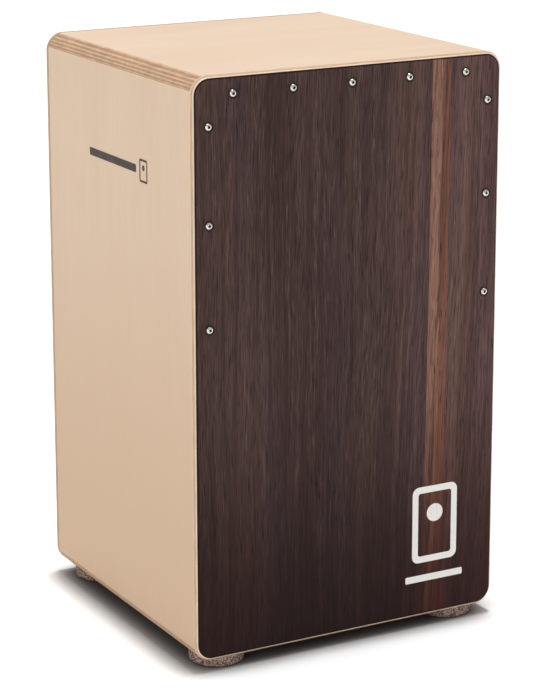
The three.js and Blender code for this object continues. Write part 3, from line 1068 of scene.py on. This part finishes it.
@dataclass
class PanelRing:
    """Four plywood panels, tongued together, with the corners rounded over."""

    corner: float = 16 * MM
    tongue: float = 4 * MM
    slack: float = 0.3 * MM
    steps: int = 20
    plies: int = 9
    sharp: float = math.radians(20)

    def cap_outline(self, low: Vector, high: Vector) -> list[Point2]:
        """The top panel's section.

        Args:
            low: the panel's lowest corner, where the round-over runs out on the side panel.
            high: its highest corner.

        Returns:
            The section, in X and Z.
        """
        half = body_box()[1].x
        thick = high.z - low.z
        run_out = math.asin((self.corner - thick) / self.corner)
        centre_z = high.z - self.corner
        groove, deep = self.tongue / 2 + self.slack, self.tongue + self.slack
        points: list[Point2] = []
        for middle in (-half + thick / 2, half - thick / 2):
            points += [
                (middle - groove, low.z),
                (middle - groove, low.z + deep),
                (middle + groove, low.z + deep),
                (middle + groove, low.z),
            ]
        over = half - self.corner
        points += arc((over, centre_z), self.corner, run_out, QUARTER, self.steps)
        end = 2 * QUARTER - run_out
        points += arc((-over, centre_z), self.corner, QUARTER, end, self.steps)
        return points

    def wall_outline(self, side: int) -> list[Point2]:
        """A side panel's section.

        Args:
            side: -1 for the left panel, 1 for the right one.

        Returns:
            The section, in X and Z.
        """
        low, high = body_box()
        floor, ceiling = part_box("bottom_panel")[1].z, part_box("top_panel")[0].z
        half, thick = high.x, floor - low.z
        run_out = math.asin((self.corner - thick) / self.corner)
        inner, middle = half - thick, half - thick / 2
        near, far = middle - self.tongue / 2, middle + self.tongue / 2
        centre = half - self.corner
        points = [(inner, floor), (near, floor), (near, floor - self.tongue)]
        points += [(far, floor - self.tongue), (far, floor)]
        points += arc((centre, low.z + self.corner), self.corner, -run_out, 0, 4)
        points += arc((centre, high.z - self.corner), self.corner, 0, run_out, 4)
        points += [(far, ceiling), (far, ceiling + self.tongue), (near, ceiling + self.tongue)]
        points += [(near, ceiling), (inner, ceiling)]
        return [(side * x, z) for x, z in points]

    def build(self) -> None:
        """Builds and dresses the four panels."""
        front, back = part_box("tapa_core")[1].y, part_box("back_panel")[0].y
        low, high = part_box("top_panel")
        middle = (body_box()[0].z + body_box()[1].z) / 2
        for name, flip in (("top_panel", 1), ("bottom_panel", -1)):
            outline = [(x, middle + flip * (z - middle)) for x, z in self.cap_outline(low, high)]
            shell = Shell()
            shell.prism(outline, Y, front, back)
            outer = middle + flip * (high.z - middle)
            stack = PlyStack(Z, outer, flip, high.z - low.z, self.plies)
            finish = BirchPly(f"birch_{name}", stack, X, seed=3.1 * flip)
            skin = shell.done(f"{name}_ply", sharp=self.sharp)
            piece = dress(skin, "box", "birch_ply", finish.make())
            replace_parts(piece, name)
        for label, side in SIDES.items():
            shell = Shell()
            shell.prism(self.wall_outline(side), Y, front, back)
            stack = PlyStack(X, side * body_box()[1].x, side, high.z - low.z, self.plies)
            finish = BirchPly(f"birch_{label}_panel", stack, Z, seed=5.3 + side, honey_and_shade=(0.95, 0.4))
            piece = dress(shell.done(f"{label}_panel_ply"), "box", "birch_ply", finish.make())
            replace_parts(piece, f"{label}_panel")


@dataclass(frozen=True)
class BodyPlate:
    """A plate across Y with the body's outline, given as the outline's inset at each level."""

    levels: tuple[Point2, ...]
    holes: tuple[Hole, ...]
    corner: float = 16 * MM
    steps: int = 14
    sharp: float = math.radians(24)

    def build(self, name: str) -> bpy.types.Object:
        """Builds the plate.

        Args:
            name: its name.

        Returns:
            The plate.
        """
        low, high = body_box()
        middle = ((low.x + high.x) / 2, (low.z + high.z) / 2)
        size = (high.x - low.x, high.z - low.z)
        shell = Shell()
        shell.plate(middle, size, self.corner, self.steps, self.levels, self.holes)
        return shell.done(name, sharp=self.sharp)


@dataclass
class PlayingFace:
    """The tapa: a light ply core, a dark veneer, and the screws that hold its upper half."""

    chamfer: float = 2.8 * MM
    hole: float = 2.05 * MM
    arris: float = 0.12 * MM
    screw: WoodScrew = WoodScrew(
        head_radius=3.9 * MM,
        head_height=2.2 * MM,
        rim=0.45 * MM,
        shank_radius=1.75 * MM,
        tip=4 * MM,
        length=20 * MM,
        recess_span=3.3 * MM,
        recess_width=1.25 * MM,
        recess_depth=1.6 * MM,
        flat=0.5,
        crown=0.8,
    )
    screws: int = 11
    screw_turn: float = 37

    def places(self) -> list[Vector]:
        """Where the screws' heads are seated.

        Returns:
            The points, on the veneer.
        """
        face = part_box("tapa_veneer")[0].y
        spots = []
        for number in range(1, self.screws + 1):
            low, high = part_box(f"tapa_screw_{number:02d}")
            spots.append(Vector(((low.x + high.x) / 2, face, (low.z + high.z) / 2)))
        return spots

    def build(self) -> None:
        """Builds and dresses the face and its screws."""
        face, seam = (corner.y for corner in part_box("tapa_veneer"))
        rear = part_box("tapa_core")[1].y
        low, high = body_box()
        spots = self.places()

        def holes(start: float, end: float) -> tuple[Hole, ...]:
            """The screws' clearance holes between two levels."""
            return tuple(Hole((p.x, p.z), ((start, self.hole), (end, self.hole))) for p in spots)

        veneer_inset = self.chamfer - (seam - face)
        levels = ((rear, 0), (face + self.chamfer, 0), (seam, veneer_inset))
        core = BodyPlate(levels, holes(rear, seam))
        stack = PlyStack(Y, seam, -1, rear - seam, 3)
        edge = TapaEdge("tapa_edge", stack).make()
        piece = dress(core.build("tapa_core_ply"), "box", "tapa_ply", edge)
        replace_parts(piece, "tapa_core")

        levels = (
            (seam, veneer_inset),
            (face + self.arris, self.chamfer - self.arris),
            (face, self.chamfer + self.arris),
        )
        veneer = BodyPlate(levels, holes(seam, face))
        middle = ((low.x + high.x) / 2, (low.z + high.z) / 2)
        half = ((high.x - low.x) / 2 - self.chamfer, (high.z - low.z) / 2 - self.chamfer)
        seats = tuple((p.x, p.z) for p in spots)
        oak = SmokedOak("smoked_oak", middle, half, core.corner - self.chamfer, seats=seats)
        piece = dress(veneer.build("tapa_oak_veneer"), "box", "dark_oak", oak.make())
        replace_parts(piece, "tapa_veneer")

        crown = face - self.screw.head_height
        nickel = WorkedMetal("nickel_plate", Tone.NICKEL, Tone.NICKEL_DULL, 0.2, crown=crown).make()
        for number, spot in enumerate(spots, start=1):
            node = f"tapa_screw_{number:02d}"
            turn = Matrix.Rotation(math.radians(self.screw_turn * number), 4, "Y")
            piece = self.screw.build(f"{node}_nickel", Matrix.Translation(spot) @ turn)
            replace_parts(dress(piece, "box", "nickel", nickel, recess_painted_shade()), node)


@dataclass(frozen=True)
class TapaEdge:
    """The playing face's light core, whose plies show on its chamfer."""

    name: str
    stack: PlyStack

    def make(self) -> bpy.types.Material:
        """Makes the material.

        Returns:
            The material.
        """
        r = Recipe(self.name)
        _, odd, side = self.stack.plies(r)
        streak = r.grain(Y, 900, 60, rough=0.6)
        fibre = r.grain(Z, 30, 900, rough=0.6)
        ply = r.mix(odd, Tone.BIRCH_FACE, Tone.PLY_LONG_GRAIN)
        ply = r.lit(ply, r.span(streak, 0.3, 0.7, 0.9, 1.07))
        ply = r.mix(r.span(side, 0.38, 0.48, 0, 0.7), ply, Tone.PLY_GLUE)
        ply = r.lit(ply, r.span(fibre, 0.3, 0.7, 0.95, 1.03))
        return r.surface(
            Base_Color=ply,
            Roughness=r.span(streak, 0.3, 0.7, 0.46, 0.6),
            Normal=r.bump(fibre, 0.04 * MM),
            Specular_IOR_Level=0.4,
        )


@dataclass
class BackPlate:
    """The thin back, with its sound hole and eased edges."""

    sound_hole: float = 55 * MM
    arris: float = 1 * MM
    lip: float = 1.4 * MM
    plies: int = 4

    def build(self) -> None:
        """Builds and dresses the plate."""
        low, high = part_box("back_panel")
        inner, outer = low.y, high.y
        hole_z = (frame_opening("sound_hole")[0].z + frame_opening("sound_hole")[1].z) / 2
        soft = 1 - math.sqrt(0.5)
        radius, lip, arris = self.sound_hole, self.lip, self.arris
        levels = (
            (inner, radius + lip * 0.4),
            (inner + lip * 0.4, radius),
            (outer - lip, radius),
            (outer - lip * soft, radius + lip * soft),
            (outer, radius + lip),
        )
        eased_edge = (outer - arris * soft, arris * soft)
        edge = ((inner, 0), (outer - arris, 0), eased_edge, (outer, arris))
        plate = BodyPlate(edge, (Hole((0, hole_z), levels, 72),))
        stack = PlyStack(Y, outer, 1, outer - inner, self.plies)
        finish = BirchPly("birch_back_plate", stack, Z, seed=9.4)
        piece = dress(plate.build("back_panel_ply"), "box", "back_ply", finish.make())
        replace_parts(piece, "back_panel")


def frame_opening(name: str) -> tuple[Vector, Vector]:
    """A stated opening's lowest and highest corners.

    Args:
        name: the opening's name.

    Returns:
        The two corners.
    """
    openings = frame["record"]["physics"]["openings"]
    low, high = next(o["box_m"] for o in openings if o["name"] == name)
    return Vector(low), Vector(high)


@dataclass
class Feet:
    """Four glued pads of bonded granulate."""

    edge: float = 2.5 * MM
    roughness: float = 0.16 * MM
    steps: int = 96

    def build(self) -> None:
        """Builds and dresses the pads."""
        finish = BondedGranulate("bonded_granulate").make()
        for row in ("front", "back"):
            for label in SIDES:
                node = f"foot_{row}_{label}"
                low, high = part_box(node)
                pad = self.pad(f"{node}_pad", low, high)
                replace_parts(dress(pad, "box", "cork_rubber", finish), node)

    def pad(self, name: str, low: Vector, high: Vector) -> bpy.types.Object:
        """Builds one pad, a little uneven all round.

        Args:
            name: its name.
            low: its lowest corner.
            high: its highest corner.

        Returns:
            The pad.
        """
        centre = ((low.x + high.x) / 2, (low.y + high.y) / 2)
        radius = (high.x - low.x) / 2 - self.roughness
        shell = Shell()
        profile = [(radius - self.edge * 1.6, low.z)]
        profile += [
            (radius - self.edge + self.edge * math.sin(t), low.z + self.edge * (1 - math.cos(t)))
            for t in (QUARTER * i / 6 for i in range(7))
        ]
        wall = [low.z + self.edge + (high.z - low.z - self.edge) * i / 5 for i in range(1, 6)]
        profile += [(radius, z) for z in wall]
        loops = [shell.loop(stood(circle(centre, r, self.steps), Z, z)) for r, z in profile]
        shell.tube(*loops)
        # Two waves of unlike length make the pad's side uneven.
        for loop in loops[2:-1]:
            for i, vert in enumerate(loop):
                wave = math.sin(i * 2.7 + vert.co.z * 9000) + math.sin(i * 1.3 - vert.co.z * 5200)
                out = Vector((vert.co.x - centre[0], vert.co.y - centre[1], 0)).normalized()
                vert.co += out * self.roughness * wave / 2
        return shell.done(name)


# ------------------------------------------------------------------ inside the box


def eased(node: str, body: str, slot: str, material: bpy.types.Material, width: float) -> None:
    """Replaces a wooden piece of the frame with the same piece, its sharp edges sanded round.

    Args:
        node: the frame's piece.
        body: the body it rides on.
        slot: the slot it takes its finish from.
        material: its material.
        width: how wide the sanding is.
    """
    bm = bmesh.new()
    bm.from_mesh(frame["nodes"][node].data)
    bmesh.ops.remove_doubles(bm, verts=bm.verts, dist=WELD)
    bmesh.ops.dissolve_limit(bm, angle_limit=FLAT_ANGLE, verts=bm.verts, edges=bm.edges)
    mesh = bpy.data.meshes.new(f"{node}_eased")
    bm.to_mesh(mesh)
    bm.free()
    piece = bpy.data.objects.new(f"{node}_eased", mesh)
    bpy.context.scene.collection.objects.link(piece)
    bevel = piece.modifiers.new("sanded_edges", "BEVEL")
    bevel.width = width
    bevel.segments = 2
    bevel.limit_method = "ANGLE"
    bevel.angle_limit = SHARP_ANGLE
    bevel.use_clamp_overlap = True
    bpy.context.view_layer.update()
    worked = piece.evaluated_get(bpy.context.evaluated_depsgraph_get())
    sanded = bpy.data.meshes.new_from_object(worked)
    piece.modifiers.clear()
    piece.data = sanded
    sanded.polygons.foreach_set("use_smooth", [True] * len(sanded.polygons))
    sanded.set_sharp_from_angle(angle=SHARP_ANGLE)
    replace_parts(dress(piece, body, slot, material), node)


@dataclass
class Woodwork:
    """The battens behind the playing face, and the cleats that hold the snare bar."""

    sanded: float = 0.7 * MM
    screw: WoodScrew = WoodScrew(
        head_radius=3 * MM,
        head_height=1.6 * MM,
        rim=0.3 * MM,
        shank_radius=1.5 * MM,
        tip=4 * MM,
        length=20 * MM,
        recess_span=3 * MM,
        recess_width=0.75 * MM,
        recess_depth=1 * MM,
    )

    def build(self) -> None:
        """Dresses the battens and cleats, and builds the cleats' screws."""
        runs = {"top": X, "bottom": X, "left": Z, "right": Z}
        for where, length in runs.items():
            spruce = PlanedTimber(f"spruce_{where}", Tone.SPRUCE_EARLY, Tone.SPRUCE_LATE, length)
            eased(f"batten_{where}", "box", "spruce", spruce.make(), self.sanded)
        beech = PlanedTimber("beech_cleat", Tone.BEECH_PALE, Tone.BEECH_PALE, Z, fleck=0.5).make()
        steel = WorkedMetal("screw_steel", Tone.STEEL, Tone.NICKEL_DULL, rough=0.3).make()
        for label, side in SIDES.items():
            eased(f"cleat_{label}", "box", "beech", beech, self.sanded)
            for end in ("front", "back"):
                node = f"cleat_screw_{label}_{end}"
                low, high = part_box(node)
                inner = low.x if side > 0 else high.x
                seat = inner + side * self.screw.head_height
                spot = Vector((seat, (low.y + high.y) / 2, (low.z + high.z) / 2))
                place = Matrix.Translation(spot) @ Matrix.Rotation(-side * QUARTER, 4, "Z")
                piece = self.screw.build(f"{node}_steel", place)
                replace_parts(dress(piece, "box", "steel", steel, recess_painted_shade()), node)


@dataclass
class SnareBar:
    """A beech bar on two steel pins, with two sets of coiled snares that lean on the tapa."""

    sanded: float = 0.6 * MM
    bar_depth: float = 22 * MM
    strip_thickness: float = 1.25 * MM
    strip_height: float = 15 * MM
    strip_margin: float = 3 * MM
    strip_corner: float = 1.2 * MM
    strip_arris: float = 0.2 * MM
    strip_steps: int = 4
    hole_share: float = 1.2
    strip_gap: float = 0.05 * MM
    strands: int = 20
    pitch: float = 2.6 * MM
    strand_length: float = 122 * MM
    strand_lap: float = 7 * MM
    coil_radius: float = 0.68 * MM
    wire_radius: float = 0.21 * MM
    coil_pitch: float = 1.9 * MM
    set_centre: float = 62 * MM
    screw_reach: float = 18 * MM
    screw_drop: float = 3.6 * MM
    bead: float = 0.62 * MM
    bead_wave: float = 0.16 * MM
    bead_sunk: float = 0.05 * MM
    tapa_gap: float = 0.35 * MM
    strand_front: float = 0.9 * MM
    screw: WoodScrew = WoodScrew(
        head_radius=2.5 * MM,
        head_height=1.4 * MM,
        rim=0.3 * MM,
        shank_radius=1.2 * MM,
        tip=2.5 * MM,
        length=12 * MM,
        recess_span=2.6 * MM,
        recess_width=0.65 * MM,
        recess_depth=0.9 * MM,
    )

    @property
    def strip_front(self) -> float:
        """The front of an end strip, drawn about the pins."""
        return -self.bar_depth / 2 - self.strip_gap - self.strip_thickness

    def lean(self) -> Matrix:
        """How the bar is turned from upright about its pins until its strands meet the tapa.

        Returns:
            The turn, about the pins in their place.
        """
        low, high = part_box("bar_pin_left")
        pivot = Vector((0, (low.y + high.y) / 2, (low.z + high.z) / 2))
        front = self.strip_front - self.strand_front
        top = self.strip_height / 2 - self.strand_lap + self.strand_length
        reach = pivot.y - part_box("tapa_core")[1].y - self.tapa_gap
        turn = math.asin(reach / math.hypot(front, top)) - math.atan2(-front, top)
        return Matrix.Translation(pivot) @ Matrix.Rotation(turn, 4, "X")

    def strip(self, shell: Shell) -> None:
        """Adds an end strip with its two screw holes.

        Args:
            shell: the snare set being built, about x = 0.
        """
        half = (self.strands - 1) * self.pitch / 2 + self.strip_margin
        front, back = self.strip_front, self.strip_front + self.strip_thickness
        arris, radius = self.strip_arris, self.screw.shank_radius * self.hole_share
        levels = ((back, 0.0), (front + arris, 0.0), (front, arris))
        spots = [(side * self.screw_reach, -self.screw_drop) for side in SIDES.values()]
        holes = [Hole(spot, ((back, radius), (front, radius))) for spot in spots]
        size = (2 * half, self.strip_height)
        shell.plate((0, 0), size, self.strip_corner, self.strip_steps, levels, holes)

    def coil(self, shell: Shell, x: float, phase: float) -> None:
        """Adds one coiled strand.

        Args:
            shell: the snare set being built.
            x: where the strand stands.
            phase: the angle its coil starts at.
        """
        bottom = self.strip_height / 2 - self.strand_lap
        turns = self.strand_length / self.coil_pitch
        steps = int(turns * 8)
        rings = []
        for i in range(steps + 1):
            turn = phase + i * QUARTER / 2
            out = Vector((math.cos(turn), math.sin(turn), 0))
            rise = self.coil_pitch / (4 * QUARTER * self.coil_radius)
            along = Vector((-math.sin(turn), math.cos(turn), rise)).normalized()
            across = along.cross(out)
            reach = self.wire_radius + (self.strand_length - 2 * self.wire_radius) * i / steps
            centre = Vector((x, self.strip_front, bottom + reach)) + out * self.coil_radius
            ways = (out, across, -out, -across)
            rings.append(shell.loop([centre + way * self.wire_radius for way in ways]))
        shell.tube(*rings)

    def solder(self, shell: Shell) -> None:
        """Adds the bead of solder that holds the strands to their strip.

        Args:
            shell: the snare set being built.
        """
        half = (self.strands - 1) * self.pitch / 2 + 0.4 * self.strip_margin
        middle = self.strip_height / 2 - self.strand_lap * 0.5
        stations = self.strands * 8
        loops = []
        for i in range(stations + 1):
            x = -half + 2 * half * i / stations
            over = math.cos(math.pi * 2 * (x / self.pitch + 0.5))
            tall = self.strand_lap * (0.3 + 0.05 * over + 0.03 * math.sin(i * 2.1))
            proud = self.bead + self.bead_wave * over
            if i in (0, stations):
                tall, proud = tall * 0.6, proud * 0.5
            root = self.strip_front + self.bead_sunk
            section = [(root, middle - tall)]
            section += [
                (self.strip_front - proud * math.sin(t), middle - tall * math.cos(t))
                for t in (2 * QUARTER * k / 8 for k in range(1, 8))
            ]
            section.append((root, middle + tall))
            loops.append(shell.loop(stood(section, X, x)))
        shell.tube(*loops)

    def build(self) -> None:
        """Builds and dresses the bar, its pins, the snare sets and their screws."""
        lean = self.lean()
        beech = PlanedTimber("beech_bar", Tone.BEECH_PALE, Tone.BEECH_PALE, X, fleck=0.45).make()
        eased("snare_bar", "snares", "beech", beech, self.sanded)
        pin = WorkedMetal("pin_steel", Tone.STEEL, Tone.NICKEL_DULL, rough=0.26, drawn=X).make()
        refinish("bar_pin_left", pin)
        refinish("bar_pin_right", pin)
        wire = WorkedMetal("snare_steel", Tone.STEEL, Tone.NICKEL_DULL, rough=0.24).make()
        solder = WorkedMetal("solder", Tone.SOLDER, Tone.NICKEL_DULL, rough=0.4).make()
        for label, side in SIDES.items():
            place = lean @ Matrix.Translation((side * self.set_centre, 0, 0))
            shell = Shell()
            self.strip(shell)
            for i in range(self.strands):
                self.coil(shell, (i - (self.strands - 1) / 2) * self.pitch, phase=i * 0.9)
            strands = shell.done(f"snare_{label}_coils", place)
            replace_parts(dress(strands, "snares", "steel", wire), f"snare_{label}")
            shell = Shell()
            self.solder(shell)
            dress(shell.done(f"snare_{label}_solder", place), "snares", "steel", solder)
            for end, way in (("inner", -1), ("outer", 1)):
                node = f"snare_screw_{label}_{end}"
                x = side * (self.set_centre + way * self.screw_reach)
                spot = Vector((x, self.strip_front - self.strip_gap, -self.screw_drop))
                turn = Matrix.Rotation(0.7 * way + side, 4, "Y")
                piece = self.screw.build(f"{node}_steel", lean @ Matrix.Translation(spot) @ turn)
                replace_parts(dress(piece, "snares", "steel", wire, recess_painted_shade()), node)


# ------------------------------------------------------------------ printed marks


@dataclass(frozen=True)
class MarkLayout:
    """A box-drum sign and a bar beside it, on one face: their places and sizes."""

    sign: Point2
    size: Point2
    stroke: float
    dot_rise: float
    dot: float
    dot_steps: int
    bar: Point2
    bar_size: Point2
    bar_corner: float = 1.2 * MM

    def areas(self) -> list[list[list[Point2]]]:
        """The inked areas, each as its outline and then its hole's.

        Returns:
            The sign's frame, the dot in it, and the bar.
        """
        corner = self.stroke * 1.1
        width, height = (full - 2 * self.stroke for full in self.size)
        outer = rounded(self.sign, *self.size, corner)
        inner = rounded(self.sign, width, height, corner * 0.35)
        dot = circle((self.sign[0], self.sign[1] + self.dot_rise), self.dot, self.dot_steps)
        return [[outer, inner], [dot], [rounded(self.bar, *self.bar_size, self.bar_corner)]]


@dataclass
class PrintedMarks:
    """A plain box-drum sign and a bar, on the playing face and on the left side."""

    film: float = 0.05 * MM
    sunk: float = 0.03 * MM
    front: MarkLayout = MarkLayout(
        sign=(87.5 * MM, 95 * MM),
        size=(46 * MM, 70 * MM),
        stroke=6 * MM,
        dot_rise=9.8 * MM,
        dot=8.2 * MM,
        dot_steps=48,
        bar=(87.5 * MM, 45.5 * MM),
        bar_size=(59 * MM, 6.2 * MM),
    )
    side: MarkLayout = MarkLayout(
        sign=(-52 * MM, 418 * MM),
        size=(15 * MM, 20 * MM),
        stroke=1.9 * MM,
        dot_rise=2.6 * MM,
        dot=2.5 * MM,
        dot_steps=32,
        bar=(8 * MM, 418 * MM),
        bar_size=(92 * MM, 7 * MM),
    )

    def build(self) -> None:
        """Builds and dresses both marks."""
        white = PrintedInk("white_ink", Tone.WHITE_INK, Tone.OAK_LIGHT).make()
        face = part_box("tapa_veneer")[0].y
        dress(self.printed("front_mark", self.front, Y, face), "box", "white_print", white)
        dark = PrintedInk("dark_ink", Tone.DARK_INK, Tone.BIRCH_FACE_WARM).make()
        side = body_box()[0].x
        dress(self.printed("side_mark", self.side, X, side), "box", "dark_print", dark)

    def printed(self, name: str, layout: MarkLayout, axis: int, face: float) -> bpy.types.Object:
        """Builds the mark on one face, which looks back along an axis.

        Args:
            name: its name.
            layout: its places and sizes.
            axis: the axis.
            face: where the face is.

        Returns:
            The mark.
        """
        shell = Shell()
        levels = (face + self.sunk, face - self.film)
        for rings in layout.areas():
            walls = [[shell.loop(stood(ring, axis, at)) for at in levels] for ring in rings]
            for wall in walls:
                shell.wall(*wall)
            for level in (0, 1):
                shell.lid(*(wall[level] for wall in walls))
        return shell.done(name)


# ------------------------------------------------------------------ studio


@dataclass(frozen=True)
class Viewpoint:
    """Where the camera stands and how it looks: metres and degrees."""

    place: tuple[float, float, float] = (-1.0347, -1.8732, 0.8246)
    azimuth: float = -28.93
    elevation: float = 13.2
    roll: float = -0.08
    lens: float = 126.8
    lift: float = -0.1429
    sensor: float = 36
    far: float = 200

    def turn(self) -> Matrix:
        """The camera's rotation, looking along its own -Z.

        Returns:
            The rotation.
        """
        a, e = math.radians(self.azimuth), math.radians(self.elevation)
        back = Vector((math.sin(a) * math.cos(e), -math.cos(a) * math.cos(e), math.sin(e)))
        right = Vector((0, 0, 1)).cross(back).normalized()
        up = back.cross(right)
        level = Matrix((right, up, back)).transposed().to_4x4()
        return level @ Matrix.Rotation(math.radians(self.roll), 4, "Z")


@dataclass
class Studio:
    """A pale floor, a broad overhead light with soft fill, and the camera."""

    view: Viewpoint = Viewpoint()
    floor_reach: float = 40.0
    floor_depth: float = 20 * MM
    sky_low: float = 0.42
    sky_high: float = 0.9
    sky_edges: Point2 = (0.78, 0.93)
    sky_middle: tuple[float, float, float] = (0.06, 0.1, 1.0)
    fill_place: tuple[float, float, float] = (-3.2, -1.6, 1.2)
    fill_size: Point2 = (2.0, 2.0)
    fill: float = 19.0
    overhead: float = 2.1
    overhead_spread: float = 3.2
    overhead_lean: Point2 = (0.9, 0.4)

    def build(self) -> None:
        """Sets up the camera, the light and the floor."""
        scene = bpy.context.scene
        scene.view_settings.view_transform = "Standard"
        lens = bpy.data.cameras.new("camera")
        lens.lens = self.view.lens
        lens.sensor_width = self.view.sensor
        lens.shift_y = self.view.lift
        lens.clip_end = self.view.far
        camera = bpy.data.objects.new("camera", lens)
        camera.matrix_world = Matrix.Translation(self.view.place) @ self.view.turn()
        scene.collection.objects.link(camera)
        scene.camera = camera
        scene.world = self.sky()
        self.softbox("fill_left", self.fill_place, self.fill_size, self.fill)
        self.overhead_light()

        shell = Shell()
        reach = self.floor_reach
        corners = [(-reach, -reach), (reach, -reach), (reach, reach), (-reach, reach)]
        shell.prism(corners, Z, -self.floor_depth, 0.0)
        floor = shell.done("studio_floor")
        floor.data.materials.append(PaleFloor().make())

    def sky(self) -> bpy.types.World:
        """A white sky that is brightest overhead, a little behind the instrument.

        Returns:
            The world.
        """
        world = bpy.data.worlds.new("soft_sky")
        world.use_nodes = True
        tree = world.node_tree
        way = tree.nodes.new("ShaderNodeTexCoord").outputs["Generated"]
        toward = tree.nodes.new("ShaderNodeVectorMath")
        toward.operation = "DOT_PRODUCT"
        tree.links.new(way, toward.inputs[0])
        toward.inputs[1].default_value = Vector(self.sky_middle).normalized()
        level = tree.nodes.new("ShaderNodeMapRange")
        level.interpolation_type = "SMOOTHSTEP"
        tree.links.new(toward.outputs["Value"], level.inputs[0])
        spans = (*self.sky_edges, self.sky_low, self.sky_high)
        for socket, number in zip(level.inputs[1:5], spans):
            socket.default_value = number
        glow = tree.nodes["Background"]
        glow.inputs[0].default_value = (1, 1, 1, 1)
        tree.links.new(level.outputs[0], glow.inputs[1])
        return world

    def overhead_light(self) -> None:
        """Adds the light straight above, which gives the floor its narrow soft shadow."""
        light = bpy.data.lights.new("overhead", "SUN")
        light.energy = self.overhead
        light.angle = math.radians(self.overhead_spread)
        lamp = bpy.data.objects.new("overhead", light)
        lean_x, lean_y = (math.radians(angle) for angle in self.overhead_lean)
        lamp.matrix_world = Matrix.Rotation(lean_x, 4, "Y") @ Matrix.Rotation(-lean_y, 4, "X")
        bpy.context.scene.collection.objects.link(lamp)

    def softbox(self, name: str, place: Sequence[float], size: Point2, power: float) -> None:
        """Adds a large soft light aimed at the middle of the instrument.

        Args:
            name: the light's name.
            place: where it hangs.
            size: its width and height.
            power: its power in watts.
        """
        light = bpy.data.lights.new(name, "AREA")
        light.shape = "RECTANGLE"
        light.size, light.size_y = size
        light.energy = power
        lamp = bpy.data.objects.new(name, light)
        low, high = CAD_BOX
        aim = (low + high) / 2 - Vector(place)
        turn = aim.to_track_quat("-Z", "Y").to_matrix().to_4x4()
        lamp.matrix_world = Matrix.Translation(place) @ turn
        bpy.context.scene.collection.objects.link(lamp)


def main() -> None:
    """Builds the instrument around its frame, and then the studio."""
    logging.basicConfig(level=logging.INFO, format="%(name)s: %(message)s")
    parts = (PanelRing, PlayingFace, BackPlate, Feet, Woodwork, SnareBar, PrintedMarks)
    for part in parts:
        log.info("building %s", part.__name__)
        part().build()
    Studio().build()


if __name__ == "__main__":
    main()
